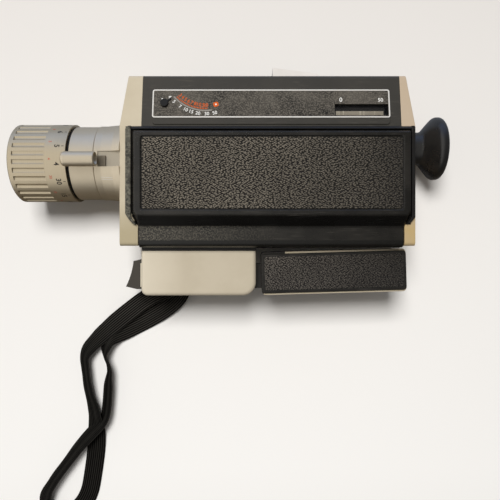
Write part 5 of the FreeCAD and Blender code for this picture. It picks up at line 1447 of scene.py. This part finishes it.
@dataclass
class Studio:
    """Pale table, plain soft light and the photograph's viewpoint."""

    height: float = 0.36
    look: Pair = (0.01375, -0.03985)
    lens_shift: float = -0.01
    # the table's colour, painted lighter towards -y as painted light that offsets the lamp's falloff
    table: Triple = (0.715, 0.685, 0.652)
    table_painted_bright: Triple = (0.97, 0.95, 0.915)
    # metres along y between which the table, and what metal mirrors of it, change colour
    table_ends: Pair = (-0.2, 0.14)
    mirrored_ends: Pair = (-0.03, 0.08)
    mirrored_low: Triple = (0.10, 0.08, 0.055)
    mirrored_high: Triple = (0.30, 0.33, 0.38)
    room: Triple = (0.19, 0.185, 0.18)
    backdrop: Triple = (0.88, 0.865, 0.84)
    # what glossy faces mirror of the room
    right: Triple = (0.12, 0.115, 0.105)
    left: Triple = (0.95, 0.92, 0.87)
    top: Triple = (0.46, 0.60, 0.95)
    bottom: Triple = (0.02, 0.017, 0.013)
    # directions between which each of them comes in, along x, y and y
    left_ends: Pair = (0.28, -0.35)
    top_ends: Pair = (0.5, 0.95)
    bottom_ends: Pair = (-0.8, -0.98)
    lamp_place: Triple = (-0.12, 0.50, 1.40)
    lamp_aim: Triple = (0, 0, 0.02)
    lamp_size: float = 0.55
    lamp_power: float = 22.2

    def floor(self) -> None:
        """Lays the pale table, which metal mirrors as the darker one of the photograph."""
        bpy.ops.mesh.primitive_plane_add(size=6, location=(0, 0, 0))
        floor = Bench.named("table_top")
        material = bpy.data.materials.new("pale table")
        graph = Graph.of(material)
        along = graph.split(graph.add("ShaderNodeTexCoord").outputs["Object"])[1]
        # painted light: the table is lighter towards -y to offset the lamp's falloff
        color = graph.mix(graph.spread(along, *self.table_ends), self.table_painted_bright, self.table)
        mirrored = graph.mix(graph.spread(along, *self.mirrored_ends), self.mirrored_low, self.mirrored_high)
        color = graph.mix(graph.add("ShaderNodeLightPath").outputs["Is Glossy Ray"], color, mirrored)
        look = {"Base Color": color, "Roughness": 0.9, "Specular IOR Level": 0.1}
        shader = graph.add("ShaderNodeBsdfPrincipled", look)
        graph.add("ShaderNodeOutputMaterial", {"Surface": shader.outputs[0]})
        floor.data.materials.append(material)

    def world(self) -> None:
        """Sets a plain dim world, mirrored as bright to the left and cool on the camera's top side."""
        world = bpy.data.worlds.new("studio")
        bpy.context.scene.world = world
        graph = Graph.of(world)
        ray = graph.add("ShaderNodeLightPath").outputs
        x, y, _ = graph.split(graph.add("ShaderNodeTexCoord").outputs["Generated"])
        glossy = graph.mix(graph.spread(x, *self.left_ends), self.right, self.left)
        glossy = graph.mix(graph.spread(y, *self.top_ends), glossy, self.top)
        glossy = graph.mix(graph.spread(y, *self.bottom_ends), glossy, self.bottom)
        soft = graph.mix(ray["Is Glossy Ray"], self.room, glossy)
        seen = graph.math("MAXIMUM", ray["Is Camera Ray"], ray["Is Transmission Ray"])
        color = graph.mix(seen, soft, self.backdrop)
        background = graph.add("ShaderNodeBackground", {"Color": color, "Strength": 1.0})
        graph.add("ShaderNodeOutputWorld", {"Surface": background.outputs[0]})

    def lamp(self) -> None:
        """Hangs a square soft light that faces the camera and isn't mirrored in it."""
        turn = (Vector(self.lamp_aim) - Vector(self.lamp_place)).to_track_quat("-Z", "Y").to_euler()
        bpy.ops.object.light_add(type="AREA", location=self.lamp_place, rotation=turn)
        lamp = bpy.context.active_object
        lamp.name = "window light"
        lamp.data.size = self.lamp_size
        lamp.data.energy = self.lamp_power
        lamp.visible_glossy = False

    def camera(self) -> None:
        """Stands the viewpoint straight above, as in the photograph."""
        bpy.ops.object.camera_add(location=(*self.look, self.height), rotation=(0, 0, 0))
        camera = bpy.context.active_object
        camera.data.sensor_width = camera.data.lens = 36
        camera.data.shift_x = camera.data.shift_y = self.lens_shift
        bpy.context.scene.camera = camera

    def build(self) -> None:
        """Sets the table, the light and the viewpoint."""
        bpy.context.scene.view_settings.view_transform = "Standard"
        self.floor()
        self.world()
        self.lamp()
        self.camera()


def main() -> None:
    """Builds and dresses every sub-assembly."""
    logging.basicConfig(level=logging.INFO, format="%(name)s: %(message)s")
    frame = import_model()
    Studio().build()
    WristStrap().build()
    PackedNodes().dress(frame)
    LensDress().build()
    NamePanelPrint().build()
    CounterScale().build()
    Eyecup().build()
    HandleHide().build()


if __name__ == "__main__":
    main()
